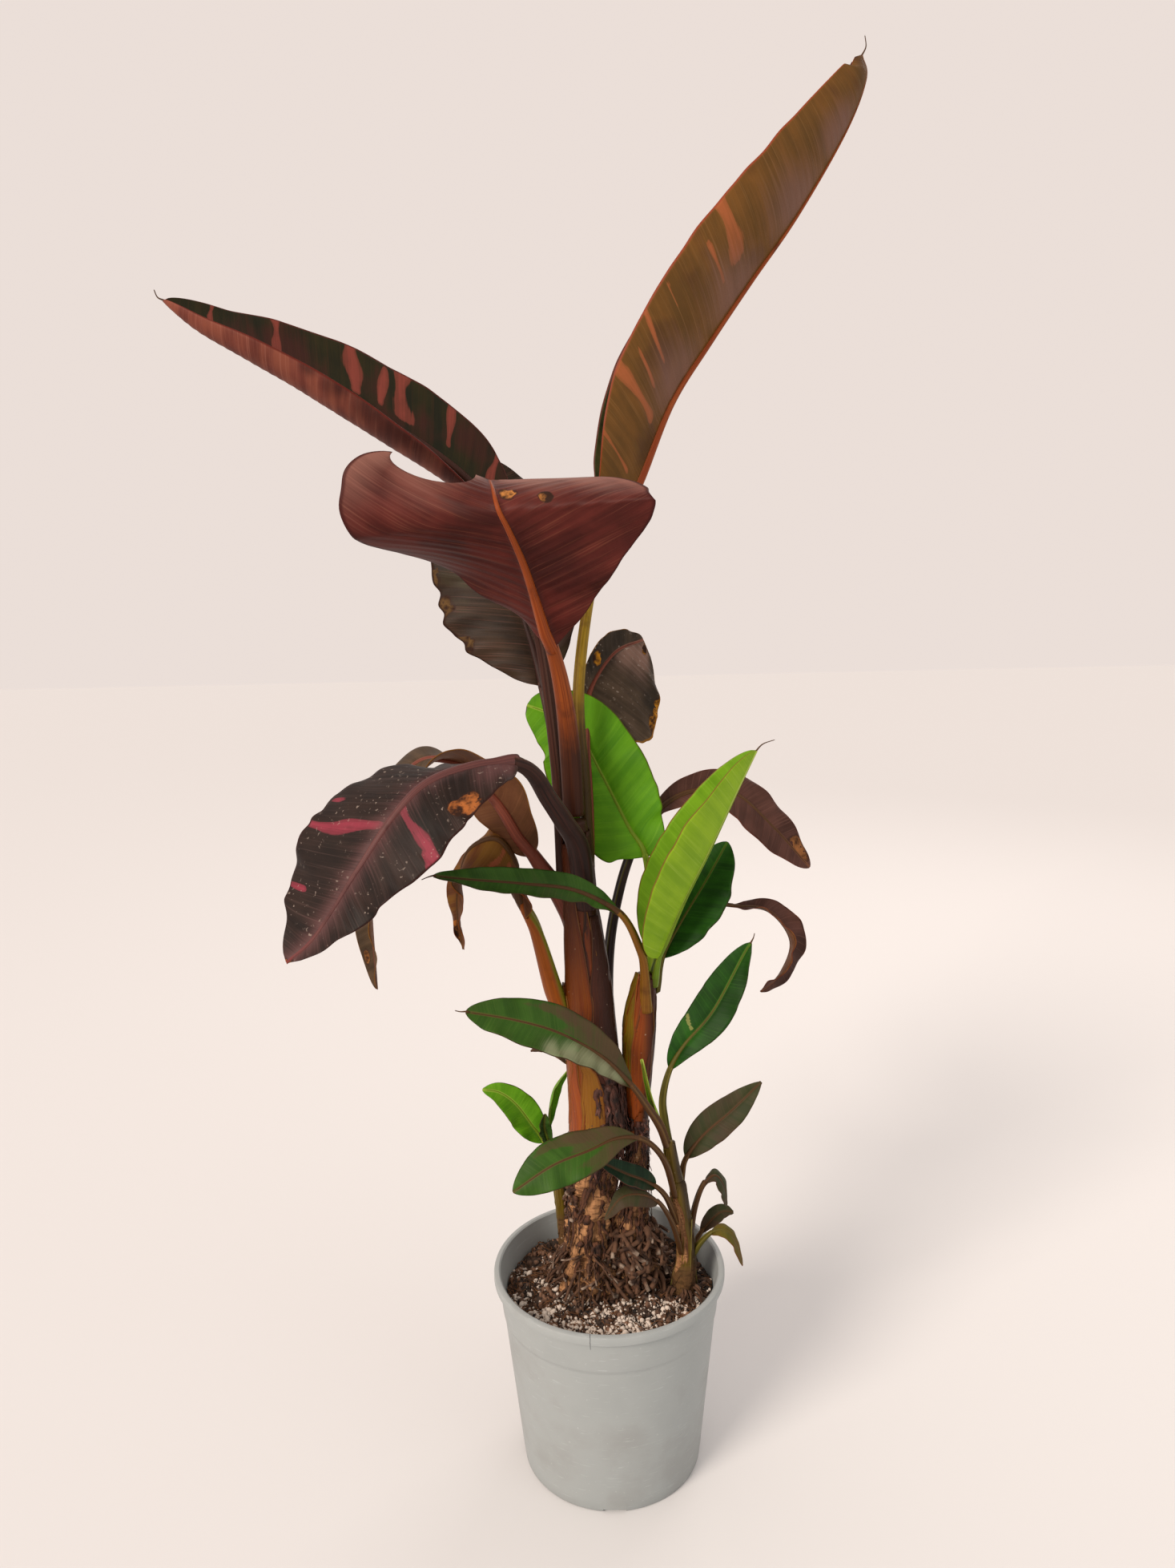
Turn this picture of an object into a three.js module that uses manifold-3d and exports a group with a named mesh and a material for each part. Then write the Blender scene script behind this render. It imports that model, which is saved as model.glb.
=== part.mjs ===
// A banana plant in a round nursery pot: one tall false stem made of leaf bases, a thinner
// one beside it, and two young suckers. Millimetres, +Z up, +X to the right and -Y to the
// front. The origin is the middle of the pot's flat underside.
import * as THREE from 'three';
import Module from 'manifold-3d';
import { mergeVertices } from 'three/addons/utils/BufferGeometryUtils.js';

const wasm = await Module();
wasm.setup();

// Clearance between pieces that touch on the real plant
const GAP = 0.3;

// Pot
const POT_HEIGHT = 170;
const FOOT_RADIUS = 73.5;
const RIM_RADIUS = 94.5;
const WALL = 3;
const LIP_HEIGHT = 8;
const LIP_WIDTH = 5;
const STEP_HEIGHT = 134;
const STEP_OUT = 0.8;
const POT_SIDES = 36;
const NOTCH_COUNT = 4;
const NOTCH = { width: 18, height: 3, depth: 3 };

// Soil
const SOIL_LEVEL = 150;
const SOIL_DROP = 4;
const SOIL_FLAT_RADIUS = 72;

// Stems and leaves
const STEM_SIDES = 12;
const STEM_STEP = 26;
const STALK_STEP = 36;
const STALK_DEPTH = 0.85;
const WIDE_HALF = 25;
const ROUTE_SAMPLES = 24;
const THINNEST_BLADE = 1.6;
const LEAST_THICKNESS = 1 / 100;
const RIB_DEPTH = 1.3;
const TIP_RIB = 0.9;

const COLOURS = {
  pot: 0x9fa3a8,
  soil: 0x2c211b,
  sheath: 0x7a3a1c,
  young_stem: 0x6d6a2c,
  bronze: 0x5d3c22,
  dark: 0x2e2322,
  maroon: 0x5a241f,
  red: 0x6b2622,
  green: 0x3f8a22,
  lime: 0x86b52e,
  deep_green: 0x2c4a22,
};
const ROUGHNESS = { pot: 0.55, soil: 0.95 };
const PLANT_ROUGHNESS = 0.5;

// A stem: points up its middle, each with the radius there
const STEMS = [
  {
    name: 'main_stem',
    colour: 'sheath',
    points: [
      [-14, 0, SOIL_LEVEL + GAP, 27],
      [-14, 0, 168, 24],
      [-15, 0, 190, 20],
      [-14, 0, 224, 19],
      [-10, 0, 267, 21.5],
      [-7, 0, 308, 22.5],
      [-10, 0, 363, 20.5],
      [-12, 0, 416, 18],
      [-16, 0, 469, 14],
      [-18, 0, 520, 11.5],
      [-20, -2, 545, 10.5],
    ],
  },
  {
    name: 'second_stem',
    colour: 'sheath',
    points: [
      [17, 5, SOIL_LEVEL + GAP, 25],
      [18, 5, 172, 23],
      [19, 5, 200, 18],
      [21, 5, 228, 12],
      [24, 4, 264, 9.5],
      [25, 4, 296, 9],
      [26, 3, 330, 11],
      [27.5, 3, 365, 13],
      [29, 2, 388, 12.5],
      [30, 2, 405, 10.5],
    ],
  },
  {
    name: 'front_sucker_stem',
    colour: 'young_stem',
    points: [
      [60, -8, SOIL_LEVEL + GAP, 12],
      [61, -8, 162, 10],
      [63, -7, 176, 8],
      [62, -9, 199, 7.2],
      [57, -12, 237, 6.5],
      [52, -16, 268, 5.5],
      [49, -19, 288, 5],
    ],
  },
  {
    name: 'back_sucker_stem',
    colour: 'young_stem',
    points: [
      [-36, 60, SOIL_LEVEL + GAP, 8],
      [-37, 60, 165, 6.5],
      [-39, 58, 190, 6],
      [-41, 56, 214, 5],
      [-42, 56, 230, 4.5],
    ],
  },
];

// A leaf: the route runs up its stalk and along its midrib to the tip. blade is the place in
// the route where the blade starts, stalk the radii at the stem and at the blade, half the
// widths left and right of the midrib. across points over the blade to its right edge, lift
// says how far each half rises from flat and curl how far it rolls on towards its edge, in
// degrees, all from the blade's base to its tip. A split leaf's stalk is a piece of its own.
const LEAVES = [
  {
    name: 'leaf_front_red',
    colour: 'red',
    route: [[-20, -5, 546], [-22, -14, 603], [-27, -35, 652], [-36, -60, 693], [-46, -85, 731],
      [-56, -105, 757], [-62, -110, 769], [-66, -96, 781], [-70, -68, 789]],
    blade: 2.6,
    stalk: [8.5, 5],
    half: [98, 101],
    skewed: true,
    across: [[-0.9, 0.43, 0.06], [-0.9, 0.43, 0.04], [-0.97, 0.2, -0.08], [-0.97, -0.15, 0.22]],
    lift: [[10, 10], [5, 5], [0, -3], [-16, -12]],
    curl: [[10, 10], [0, 0], [0, 0], [0, 0]],
    widest: 0.7,
    fullness: 0.5,
    stations: 16,
    split: true,
  },
  {
    name: 'leaf_tall_right',
    colour: 'bronze',
    route: [[-10, 9, 500], [-12, 13, 560], [-15, 20, 641], [-2, 35, 725], [14, 45, 766],
      [32, 50, 796], [58, 60, 854], [88, 65, 898], [121, 70, 943], [156, 74, 989],
      [192, 76, 1046], [207, 76, 1082], [204, 76, 1098]],
    blade: 4,
    stalk: [6, 4.5],
    half: [56, 64],
    across: [[0.25, -0.96, -0.03]],
    lift: [[35, 40], [40, 45], [35, 40]],
    curl: [[50, 50], [50, 50], [50, 50]],
    widest: 0.46,
    fullness: 0.42,
    stations: 14,
    split: true,
  },
  {
    name: 'leaf_upper_left',
    colour: 'dark',
    route: [[-30, 2, 490], [-31, 4, 545], [-33, 6, 592], [-42, 10, 675], [-56, 10, 726],
      [-71, 5, 772], [-88, 0, 795], [-114, -8, 817], [-151, -20, 841], [-186, -30, 861],
      [-221, -40, 878], [-254, -48, 893], [-280, -55, 909]],
    blade: 5,
    stalk: [5.5, 4],
    half: [52, 40],
    across: [[0.4, 0.75, 0.5], [0.2, 0.85, 0.45]],
    lift: [[-30, 10], [-45, 15], [-30, 10]],
    curl: [[120, 10], [170, 10], [150, 20]],
    widest: [0.42, 0.36],
    fullness: [0.56, 0.53],
    stations: 14,
    split: true,
  },
  {
    name: 'leaf_back_left',
    colour: 'dark',
    route: [[-26, 12, 480], [-29, 17, 545], [-36, 24, 610], [-48, 40, 664], [-59, 55, 701],
      [-71, 70, 745], [-80, 80, 788], [-83, 84, 818]],
    blade: 2.6,
    stalk: [5, 3.5],
    half: [63, 56],
    across: [[0.97, 0, 0.22]],
    lift: [[10, 15], [5, 10], [0, 0]],
    curl: [[-20, 10], [-30, 10], [-20, 0]],
    widest: 0.5,
    fullness: 0.65,
    stations: 12,
    split: true,
  },
  {
    name: 'leaf_back_right',
    colour: 'dark',
    route: [[-10, 14, 470], [-9, 24, 545], [-10, 40, 600], [-6, 62, 634], [15, 85, 663],
      [40, 108, 672]],
    blade: 2.7,
    stalk: [4.5, 3],
    half: [9, 72],
    skewed: true,
    across: [[0.55, -0.35, -0.75], [0.5, -0.4, -0.8]],
    lift: [[20, 0], [20, -5]],
    curl: [[0, -10]],
    widest: 0.5,
    fullness: 0.5,
    stations: 9,
    split: true,
  },
  {
    name: 'leaf_big_left',
    colour: 'dark',
    route: [[-13, -8, 474], [-17, -18, 525], [-27, -30, 549], [-38, -42, 570], [-48, -54, 590],
      [-61, -66, 600], [-84, -82, 603], [-116, -100, 595], [-138, -112, 575], [-163, -122, 539],
      [-192, -126, 496], [-212, -126, 478]],
    blade: 5,
    stalk: [10, 6.5],
    half: [51, 67],
    across: [[-0.6, 0.78, 0.15], [-0.65, 0.7, 0.3], [-0.45, 0.76, 0.45]],
    lift: [[0, -30], [-8, 0], [0, 10]],
    curl: [[-5, -5], [-10, -10], [0, 0]],
    widest: [0.35, 0.58],
    fullness: [0.9, 0.6],
    stations: 14,
    split: true,
  },
  {
    name: 'leaf_drooping_left',
    colour: 'maroon',
    route: [[-19, 4, 448], [-27, 5, 473], [-50, 8, 510], [-62, 12, 527], [-79, 20, 555],
      [-108, 30, 585], [-144, 38, 585], [-172, 40, 546], [-186, 35, 482], [-183, 25, 401]],
    blade: 2.2,
    stalk: [9, 5],
    half: [36, 32],
    across: [[-0.75, 0.2, -0.6], [-0.5, 0.75, 0], [-0.35, 0.92, 0.1], [-0.35, 0.92, 0]],
    lift: [[0, 5], [-10, -10], [0, 0], [20, 20]],
    curl: [[0, 0], [-10, -10], [10, 10], [30, 30]],
    widest: 0.4,
    fullness: 0.6,
    stations: 12,
    split: true,
  },
  {
    name: 'leaf_curled_left',
    colour: 'maroon',
    route: [[-25, 0, 372], [-38, -2, 407], [-51, 0, 455], [-62, 4, 480], [-65, 10, 506],
      [-81, 16, 526], [-104, 20, 517], [-113, 20, 491], [-115, 18, 465], [-111, 16, 436]],
    blade: 2.8,
    stalk: [10, 5],
    half: [36, 16],
    skewed: true,
    across: [[-0.3, 0.6, 0.75], [-0.1, 0.5, 0.85], [0.1, 0.6, 0.8], [-0.7, 0.7, 0],
      [-0.7, 0.7, 0]],
    lift: [[0, -50], [0, -50], [0, -40], [10, 10], [10, 10]],
    curl: [[0, 0], [20, 0], [50, 0], [30, 20], [20, 20]],
    widest: 0.32,
    fullness: 0.8,
    stations: 12,
    split: true,
  },
  {
    name: 'leaf_right_maroon',
    colour: 'maroon',
    route: [[4, 16, 330], [8, 20, 422], [17, 26, 480], [30, 32, 521], [52, 40, 546],
      [78, 48, 555], [111, 55, 550], [141, 58, 522], [172, 58, 486]],
    blade: 3.2,
    stalk: [5.5, 4],
    half: [20, 22],
    across: [[0.2, -0.8, -0.5], [-0.1, -0.6, -0.8], [-0.5, -0.55, -0.65]],
    lift: [[10, 10], [0, 0], [0, 0]],
    curl: [[0, 0]],
    widest: 0.6,
    fullness: 0.6,
    stations: 12,
    split: true,
  },
  {
    name: 'leaf_withered_right',
    colour: 'maroon',
    route: [[38, 9, 396], [45, 26, 438], [68, 45, 463], [106, 52, 457], [138, 56, 451],
      [157, 56, 424], [148, 54, 396], [131, 50, 382]],
    blade: 3,
    stalk: [3, 1.8],
    half: [16, 15],
    across: [[0, -0.85, -0.5], [-0.47, -0.86, -0.19], [-0.44, -0.6, 0.6]],
    lift: [[10, 10], [20, 20], [10, 10]],
    curl: [[20, 20], [30, 30], [10, 10]],
    widest: 0.6,
    fullness: 0.7,
    stations: 10,
    split: true,
  },
  {
    name: 'leaf_small_behind',
    colour: 'maroon',
    route: [[-16, 16, 304], [-24, 28, 330], [-38, 38, 345], [-52, 44, 342], [-62, 46, 336]],
    blade: 1,
    stalk: [3, 1.6],
    half: [10, 10],
    across: [[0.6, 0.5, 0.5], [0, 0.8, 0.6]],
    lift: [[0, 0], [-10, -10]],
    curl: [[0, 0]],
    widest: 0.4,
    fullness: 0.7,
    stations: 6,
  },
  {
    name: 'second_leaf_upright',
    colour: 'lime',
    route: [[38, 1, 406], [43, -3, 433], [60, -10, 477], [81, -14, 521], [102, -16, 567],
      [116, -16, 596]],
    blade: 1,
    stalk: [5, 2.5],
    half: [38, 42],
    across: [[0.24, -0.95, -0.18]],
    lift: [[40, 50], [50, 60], [45, 55]],
    curl: [[15, 15]],
    widest: 0.4,
    fullness: 0.58,
    stations: 12,
  },
  {
    name: 'second_leaf_round',
    colour: 'green',
    route: [[35, 9, 398], [38, 11, 458], [35, 18, 508], [22, 26, 531], [1, 36, 573],
      [-16, 42, 604], [-36, 46, 618], [-56, 48, 626]],
    blade: 2,
    stalk: [4, 2.5],
    half: [42, 37],
    across: [[0.94, -0.2, 0.25], [0.85, -0.05, 0.5], [0.4, 0.25, 0.88]],
    lift: [[10, 10], [5, 5]],
    curl: [[-10, -10]],
    widest: 0.42,
    fullness: 0.47,
    stations: 12,
  },
  {
    name: 'second_leaf_dark',
    colour: 'deep_green',
    route: [[41, 8, 398], [47, 13, 427], [63, 22, 454], [83, 30, 484], [101, 34, 515]],
    blade: 1,
    stalk: [3.5, 2],
    half: [22, 27],
    across: [[0.78, -0.55, -0.3]],
    lift: [[5, 5]],
    curl: [[0, 0]],
    widest: 0.5,
    fullness: 0.6,
    stations: 8,
  },
  {
    name: 'second_leaf_left',
    colour: 'deep_green',
    route: [[33, -5, 388], [32, -10, 425], [28, -15, 445], [13, -28, 477], [-19, -42, 500],
      [-59, -56, 510], [-92, -66, 516], [-119, -72, 521]],
    blade: 3,
    stalk: [4.5, 2.5],
    half: [17, 17],
    across: [[0, 0.8, 0.6]],
    lift: [[-30, 10], [-20, 10]],
    curl: [[40, 10], [70, 10]],
    widest: 0.5,
    fullness: 0.55,
    stations: 10,
  },
  {
    name: 'front_leaf_left_high',
    colour: 'deep_green',
    route: [[48, -21, 282], [42, -25, 302], [33, -31, 320], [20, -38, 343], [4, -46, 366],
      [-15, -54, 384], [-39, -62, 400], [-67, -70, 412], [-100, -76, 421]],
    blade: 3,
    stalk: [4, 2.2],
    half: [19, 19],
    across: [[0.3, 0.78, 0.5], [0.1, 0.74, 0.66]],
    lift: [[-30, 10], [-15, 10]],
    curl: [[60, 10], [20, 10]],
    widest: 0.55,
    fullness: 0.55,
    stations: 10,
  },
  {
    name: 'front_leaf_right_high',
    colour: 'deep_green',
    route: [[49, -15, 282], [46, -11, 300], [45, -8, 318], [51, -4, 340], [63, 0, 359],
      [86, 4, 385], [110, 6, 430], [116, 6, 440]],
    blade: 3,
    stalk: [3.5, 2.2],
    half: [17, 17],
    across: [[0.78, -0.48, -0.4]],
    lift: [[10, 10]],
    curl: [[0, 0]],
    widest: 0.5,
    fullness: 0.65,
    stations: 10,
  },
  {
    name: 'front_leaf_right_low',
    colour: 'deep_green',
    route: [[58, -8, 226], [60, -6, 250], [64, -2, 263], [79, 2, 281], [102, 5, 300],
      [125, 6, 323]],
    blade: 2,
    stalk: [3, 2],
    half: [14, 14],
    across: [[0.65, -0.5, -0.55]],
    lift: [[10, 10]],
    curl: [[0, 0]],
    widest: 0.42,
    fullness: 0.7,
    stations: 8,
  },
  {
    name: 'front_leaf_left_mid',
    colour: 'deep_green',
    route: [[54, -16, 236], [47, -28, 269], [38, -36, 289], [25, -46, 304], [7, -58, 311],
      [-14, -70, 308], [-41, -80, 302], [-70, -88, 286]],
    blade: 3,
    stalk: [3.5, 2],
    half: [18, 18],
    across: [[-0.12, 0.78, 0.61], [-0.35, 0.6, 0.72], [-0.5, 0.45, 0.73]],
    lift: [[0, 0]],
    curl: [[0, 0]],
    widest: 0.6,
    fullness: 0.65,
    stations: 10,
  },
  {
    name: 'front_leaf_left_dark',
    colour: 'deep_green',
    route: [[56, -15, 212], [45, -26, 244], [31, -36, 262], [14, -44, 274], [-10, -50, 290]],
    blade: 1.6,
    stalk: [3, 1.8],
    half: [9, 9],
    across: [[0.22, 0.72, 0.66]],
    lift: [[10, 10]],
    curl: [[20, 20]],
    widest: 0.4,
    fullness: 0.65,
    stations: 7,
  },
  {
    name: 'front_leaf_left_low',
    colour: 'maroon',
    route: [[59, -13, 184], [51, -26, 219], [39, -40, 247], [25, -50, 260], [9, -58, 262],
      [-4, -60, 245]],
    blade: 2,
    stalk: [3, 1.8],
    half: [10, 10],
    across: [[-0.04, 0.87, 0.49], [-0.33, 0.82, 0.46], [-0.53, 0.79, 0.31]],
    lift: [[-10, -10]],
    curl: [[-20, -20]],
    widest: 0.4,
    fullness: 0.65,
    stations: 8,
  },
  {
    name: 'front_leaf_loop',
    colour: 'maroon',
    route: [[65, -2, 182], [70, 0, 215], [78, 2, 237], [88, 4, 244], [96, 6, 232],
      [98, 6, 214]],
    blade: 2,
    stalk: [3, 2],
    half: [9, 9],
    across: [[0, -0.95, -0.3], [-0.5, -0.85, -0.1]],
    lift: [[0, 0]],
    curl: [[-20, -20]],
    widest: 0.5,
    fullness: 0.6,
    stations: 7,
  },
  {
    name: 'front_leaf_low_right',
    colour: 'young_stem',
    route: [[67, -8, 178], [75, -10, 193], [87, -12, 205], [97, -14, 204], [104, -14, 193],
      [109, -12, 172]],
    blade: 1.6,
    stalk: [3, 1.8],
    half: [8, 8],
    across: [[0, -0.95, -0.3], [-0.4, -0.9, -0.2]],
    lift: [[0, 0]],
    curl: [[-20, -20]],
    widest: 0.4,
    fullness: 0.65,
    stations: 7,
  },
  {
    name: 'front_leaf_twisted',
    colour: 'maroon',
    route: [[65, 0, 174], [77, 10, 189], [93, 17, 202], [105, 19, 201]],
    blade: 1,
    stalk: [2.5, 1.6],
    half: [7, 7],
    across: [[0.6, -0.65, -0.45], [0.1, -0.7, -0.7]],
    lift: [[10, 10]],
    curl: [[20, 20]],
    widest: 0.5,
    fullness: 0.6,
    stations: 6,
  },
  {
    name: 'front_leaf_spear',
    colour: 'lime',
    route: [[46, -20, 290], [41, -21, 305], [34, -22, 328], [28, -24, 358]],
    blade: 1,
    stalk: [2.5, 1.8],
    half: [4, 4],
    across: [[0.93, -0.3, 0.2]],
    lift: [[40, 40]],
    curl: [[60, 60]],
    widest: 0.4,
    fullness: 0.6,
    stations: 6,
  },
  {
    name: 'back_leaf_wide',
    colour: 'green',
    route: [[-43, 55, 226], [-53, 52, 250], [-62, 48, 267], [-75, 44, 289], [-88, 40, 302],
      [-102, 36, 307]],
    blade: 1,
    stalk: [3, 1.8],
    half: [14, 14],
    across: [[0.84, 0.32, 0.44], [0.7, 0.43, 0.55]],
    lift: [[15, 15]],
    curl: [[0, 0]],
    widest: 0.45,
    fullness: 0.6,
    stations: 8,
  },
  {
    name: 'back_leaf_upright',
    colour: 'green',
    route: [[-42, 58, 228], [-48, 59, 254], [-47, 59, 276], [-43, 59, 295], [-32, 58, 311]],
    blade: 1,
    stalk: [2.5, 1.4],
    half: [7, 7],
    across: [[0.52, 0.85, -0.1]],
    lift: [[20, 20]],
    curl: [[20, 20]],
    widest: 0.6,
    fullness: 0.6,
    stations: 7,
  },
  {
    name: 'back_leaf_small',
    colour: 'deep_green',
    route: [[-42, 53, 229], [-48, 47, 250], [-52, 43, 268], [-51, 41, 281]],
    blade: 1,
    stalk: [2.2, 1.3],
    half: [6, 6],
    across: [[0.92, 0.32, 0.2]],
    lift: [[20, 20]],
    curl: [[20, 20]],
    widest: 0.5,
    fullness: 0.6,
    stations: 5,
  },
];

// The value at t, from 0 to 1, of rows of numbers that stand evenly along the way
function along(rows, t) {
  const place = t * (rows.length - 1);
  const before = Math.min(Math.floor(place), Math.max(rows.length - 2, 0));
  const after = Math.min(before + 1, rows.length - 1);
  return rows[before].map((value, i) => THREE.MathUtils.lerp(value, rows[after][i], place - before));
}

// A smooth line through points, read by its length from the start
function smoothRoute(points) {
  const vectors = points.map(([x, y, z]) => new THREE.Vector3(x, y, z));
  const curve = new THREE.CatmullRomCurve3(vectors, false, 'catmullrom', 0.5);
  const fine = curve.getPoints(ROUTE_SAMPLES * (points.length - 1));
  const lengths = [0];
  for (let i = 1; i < fine.length; i++) {
    lengths.push(lengths[i - 1] + fine[i].distanceTo(fine[i - 1]));
  }
  const total = lengths[lengths.length - 1];
  const at = (length) => {
    const wanted = THREE.MathUtils.clamp(length, 0, total);
    let i = 1;
    while (lengths[i] < wanted && i < fine.length - 1) i++;
    const share = (wanted - lengths[i - 1]) / (lengths[i] - lengths[i - 1]);
    return fine[i - 1].clone().lerp(fine[i], share);
  };
  const lengthAt = (index) => lengths[Math.round(index * ROUTE_SAMPLES)];
  const direction = (length) => at(length + 1).sub(at(length - 1)).normalize();
  return { at, direction, lengthAt, total };
}

// A closed skin over rings of points, each ring counter-clockwise seen from the last one
function skin(rings) {
  const count = rings[0].length;
  const positions = [];
  const faces = [];
  rings.forEach((ring) => ring.forEach((p) => positions.push(p.x, p.y, p.z)));
  for (let r = 0; r < rings.length - 1; r++) {
    for (let i = 0; i < count; i++) {
      const next = (i + 1) % count;
      const low = r * count;
      const high = low + count;
      faces.push(low + i, low + next, high + next);
      faces.push(low + i, high + next, high + i);
    }
  }
  const middle = (ring) => {
    const centre = ring.reduce((sum, p) => sum.add(p), new THREE.Vector3());
    centre.divideScalar(count);
    positions.push(centre.x, centre.y, centre.z);
    return positions.length / 3 - 1;
  };
  const first = middle(rings[0]);
  const last = middle(rings[rings.length - 1]);
  const top = (rings.length - 1) * count;
  for (let i = 0; i < count; i++) {
    const next = (i + 1) % count;
    faces.push(first, next, i);
    faces.push(last, top + i, top + next);
  }
  const geometry = new THREE.BufferGeometry();
  geometry.setAttribute('position', new THREE.Float32BufferAttribute(positions, 3));
  geometry.setIndex(faces);
  return geometry;
}

// A three.js geometry as a solid that can be cut, and the way back
function toSolid(geometry) {
  const bare = geometry.clone();
  bare.deleteAttribute('normal');
  bare.deleteAttribute('uv');
  const merged = mergeVertices(bare, 1e-4);
  const mesh = new wasm.Mesh({
    numProp: 3,
    vertProperties: new Float32Array(merged.attributes.position.array),
    triVerts: new Uint32Array(merged.index.array),
  });
  return new wasm.Manifold(mesh);
}

function toGeometry(solid) {
  const mesh = solid.getMesh();
  const geometry = new THREE.BufferGeometry();
  geometry.setAttribute('position', new THREE.BufferAttribute(mesh.vertProperties, 3));
  geometry.setIndex(new THREE.BufferAttribute(mesh.triVerts, 1));
  return geometry;
}

const plant = new THREE.Group();
const placed = [];

function addMesh(name, colour, geometry) {
  const material = new THREE.MeshStandardMaterial({
    color: COLOURS[colour],
    roughness: ROUGHNESS[colour] ?? PLANT_ROUGHNESS,
    metalness: 0,
  });
  geometry.computeVertexNormals();
  const mesh = new THREE.Mesh(geometry, material);
  mesh.name = name;
  plant.add(mesh);
}

function boxesMeet(a, b) {
  return [0, 1, 2].every((i) => a.min[i] <= b.max[i] && b.min[i] <= a.max[i]);
}

// Adds a piece cut clear of those already placed, which are kept a gap larger for that
function addFitted(name, colour, geometry, grownGeometry) {
  let solid = toSolid(geometry);
  const grown = toSolid(grownGeometry);
  for (const other of placed) {
    if (boxesMeet(solid.boundingBox(), other.boundingBox())) solid = solid.subtract(other);
  }
  const largest = solid.decompose().sort((a, b) => b.volume() - a.volume())[0];
  placed.push(grown);
  addMesh(name, colour, toGeometry(largest));
}

// Pot and soil
function potRadius(height) {
  const taper = (RIM_RADIUS - LIP_WIDTH + 1 - FOOT_RADIUS) / POT_HEIGHT;
  return FOOT_RADIUS + taper * height;
}

function makePot() {
  const lipFoot = POT_HEIGHT - LIP_HEIGHT;
  const inner = (height) => potRadius(height) - WALL;
  const outline = [
    [0, 0],
    [FOOT_RADIUS - 2, 0],
    [FOOT_RADIUS, 2],
    [potRadius(STEP_HEIGHT), STEP_HEIGHT],
    [potRadius(STEP_HEIGHT + 2) + STEP_OUT, STEP_HEIGHT + 2],
    [potRadius(lipFoot) + STEP_OUT, lipFoot],
    [RIM_RADIUS - 0.6, lipFoot + 0.6],
    [RIM_RADIUS, POT_HEIGHT - 1.5],
    [RIM_RADIUS - 1.5, POT_HEIGHT],
    [RIM_RADIUS - LIP_WIDTH, POT_HEIGHT],
    [inner(lipFoot - 4), lipFoot - 4],
    [inner(WALL), WALL],
    [0, WALL],
  ].map(([r, z]) => new THREE.Vector2(r, z));
  let pot = toSolid(new THREE.LatheGeometry(outline, POT_SIDES).rotateX(Math.PI / 2));
  for (let i = 0; i < NOTCH_COUNT; i++) {
    const angle = (i / NOTCH_COUNT) * 2 * Math.PI - Math.PI / 2;
    const box = new THREE.BoxGeometry(2 * NOTCH.depth, NOTCH.width, 2 * NOTCH.height);
    box.translate(FOOT_RADIUS, 0, 0).rotateZ(angle);
    pot = pot.subtract(toSolid(box));
  }
  addMesh('pot', 'pot', toGeometry(pot));
}

function makeSoil() {
  const wall = (height) => potRadius(height) - WALL - GAP;
  const edge = SOIL_LEVEL - SOIL_DROP;
  const outline = [
    [0, WALL + GAP],
    [wall(WALL + GAP), WALL + GAP],
    [wall(edge), edge],
    [SOIL_FLAT_RADIUS, SOIL_LEVEL],
    [0, SOIL_LEVEL],
  ].map(([r, z]) => new THREE.Vector2(r, z));
  const soil = new THREE.LatheGeometry(outline, POT_SIDES).rotateX(Math.PI / 2);
  addMesh('soil', 'soil', toGeometry(toSolid(soil)));
}

// Stems: the radius follows the height, so each runs from its flat cut to its top
function stemGeometry(stem, grow) {
  const route = smoothRoute(stem.points);
  const radii = smoothRoute(stem.points.map(([, , z, radius]) => [radius, 0, z]));
  const rings = [];
  const count = Math.ceil(route.total / STEM_STEP) + 1;
  for (let r = 0; r <= count; r++) {
    const centre = route.at((route.total * r) / count);
    const radius = radii.at((radii.total * r) / count).x + grow;
    const ring = [];
    for (let i = 0; i < STEM_SIDES; i++) {
      const angle = (i / STEM_SIDES) * 2 * Math.PI;
      const spoke = new THREE.Vector3(Math.cos(angle), Math.sin(angle), 0);
      ring.push(spoke.multiplyScalar(radius).add(centre));
    }
    rings.push(ring);
  }
  rings[0].forEach((p) => { p.z -= grow; });
  rings[rings.length - 1].forEach((p) => { p.z += grow; });
  return skin(rings);
}

// A leaf's place on its route, the way over to its right edge and the way up. The way over is
// square to the midrib, apart from a skewed leaf's, whose side veins all leave it at a slant.
function leafFrame(leaf, route, length, across) {
  const forward = route.direction(length);
  const right = new THREE.Vector3(...across);
  if (!leaf.skewed) right.addScaledVector(forward, -right.dot(forward));
  right.normalize();
  const upward = right.clone().cross(forward).normalize();
  return { centre: route.at(length), upward, right };
}

// How many strips each half of the blade is made of
function columnsOf(leaf) {
  return Math.max(...leaf.half) > WIDE_HALF ? 3 : 2;
}

function stalkRing(leaf, route, length, share, grow) {
  const { centre, upward, right } = leafFrame(leaf, route, length, leaf.across[0]);
  const radius = THREE.MathUtils.lerp(leaf.stalk[0], leaf.stalk[1], share) + grow;
  const count = 2 * (2 * columnsOf(leaf) + 1);
  const ring = [];
  for (let i = 0; i < count; i++) {
    const angle = Math.PI - ((i + 0.5) / count) * 2 * Math.PI;
    const point = centre.clone();
    point.addScaledVector(right, radius * Math.cos(angle));
    point.addScaledVector(upward, radius * STALK_DEPTH * Math.sin(angle));
    ring.push(point);
  }
  return ring;
}

// One half's width at t as a share of its widest, a rounded base and a pointed tip. A leaf
// whose halves differ states widest and fullness once for each.
function bladeOutline(leaf, side, t) {
  const [widest, fullness] = [leaf.widest, leaf.fullness].map((value) => [value].flat());
  const bend = Math.log(0.5) / Math.log(widest[side] ?? widest[0]);
  return Math.sin(Math.PI * t ** bend) ** (fullness[side] ?? fullness[0]);
}

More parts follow.
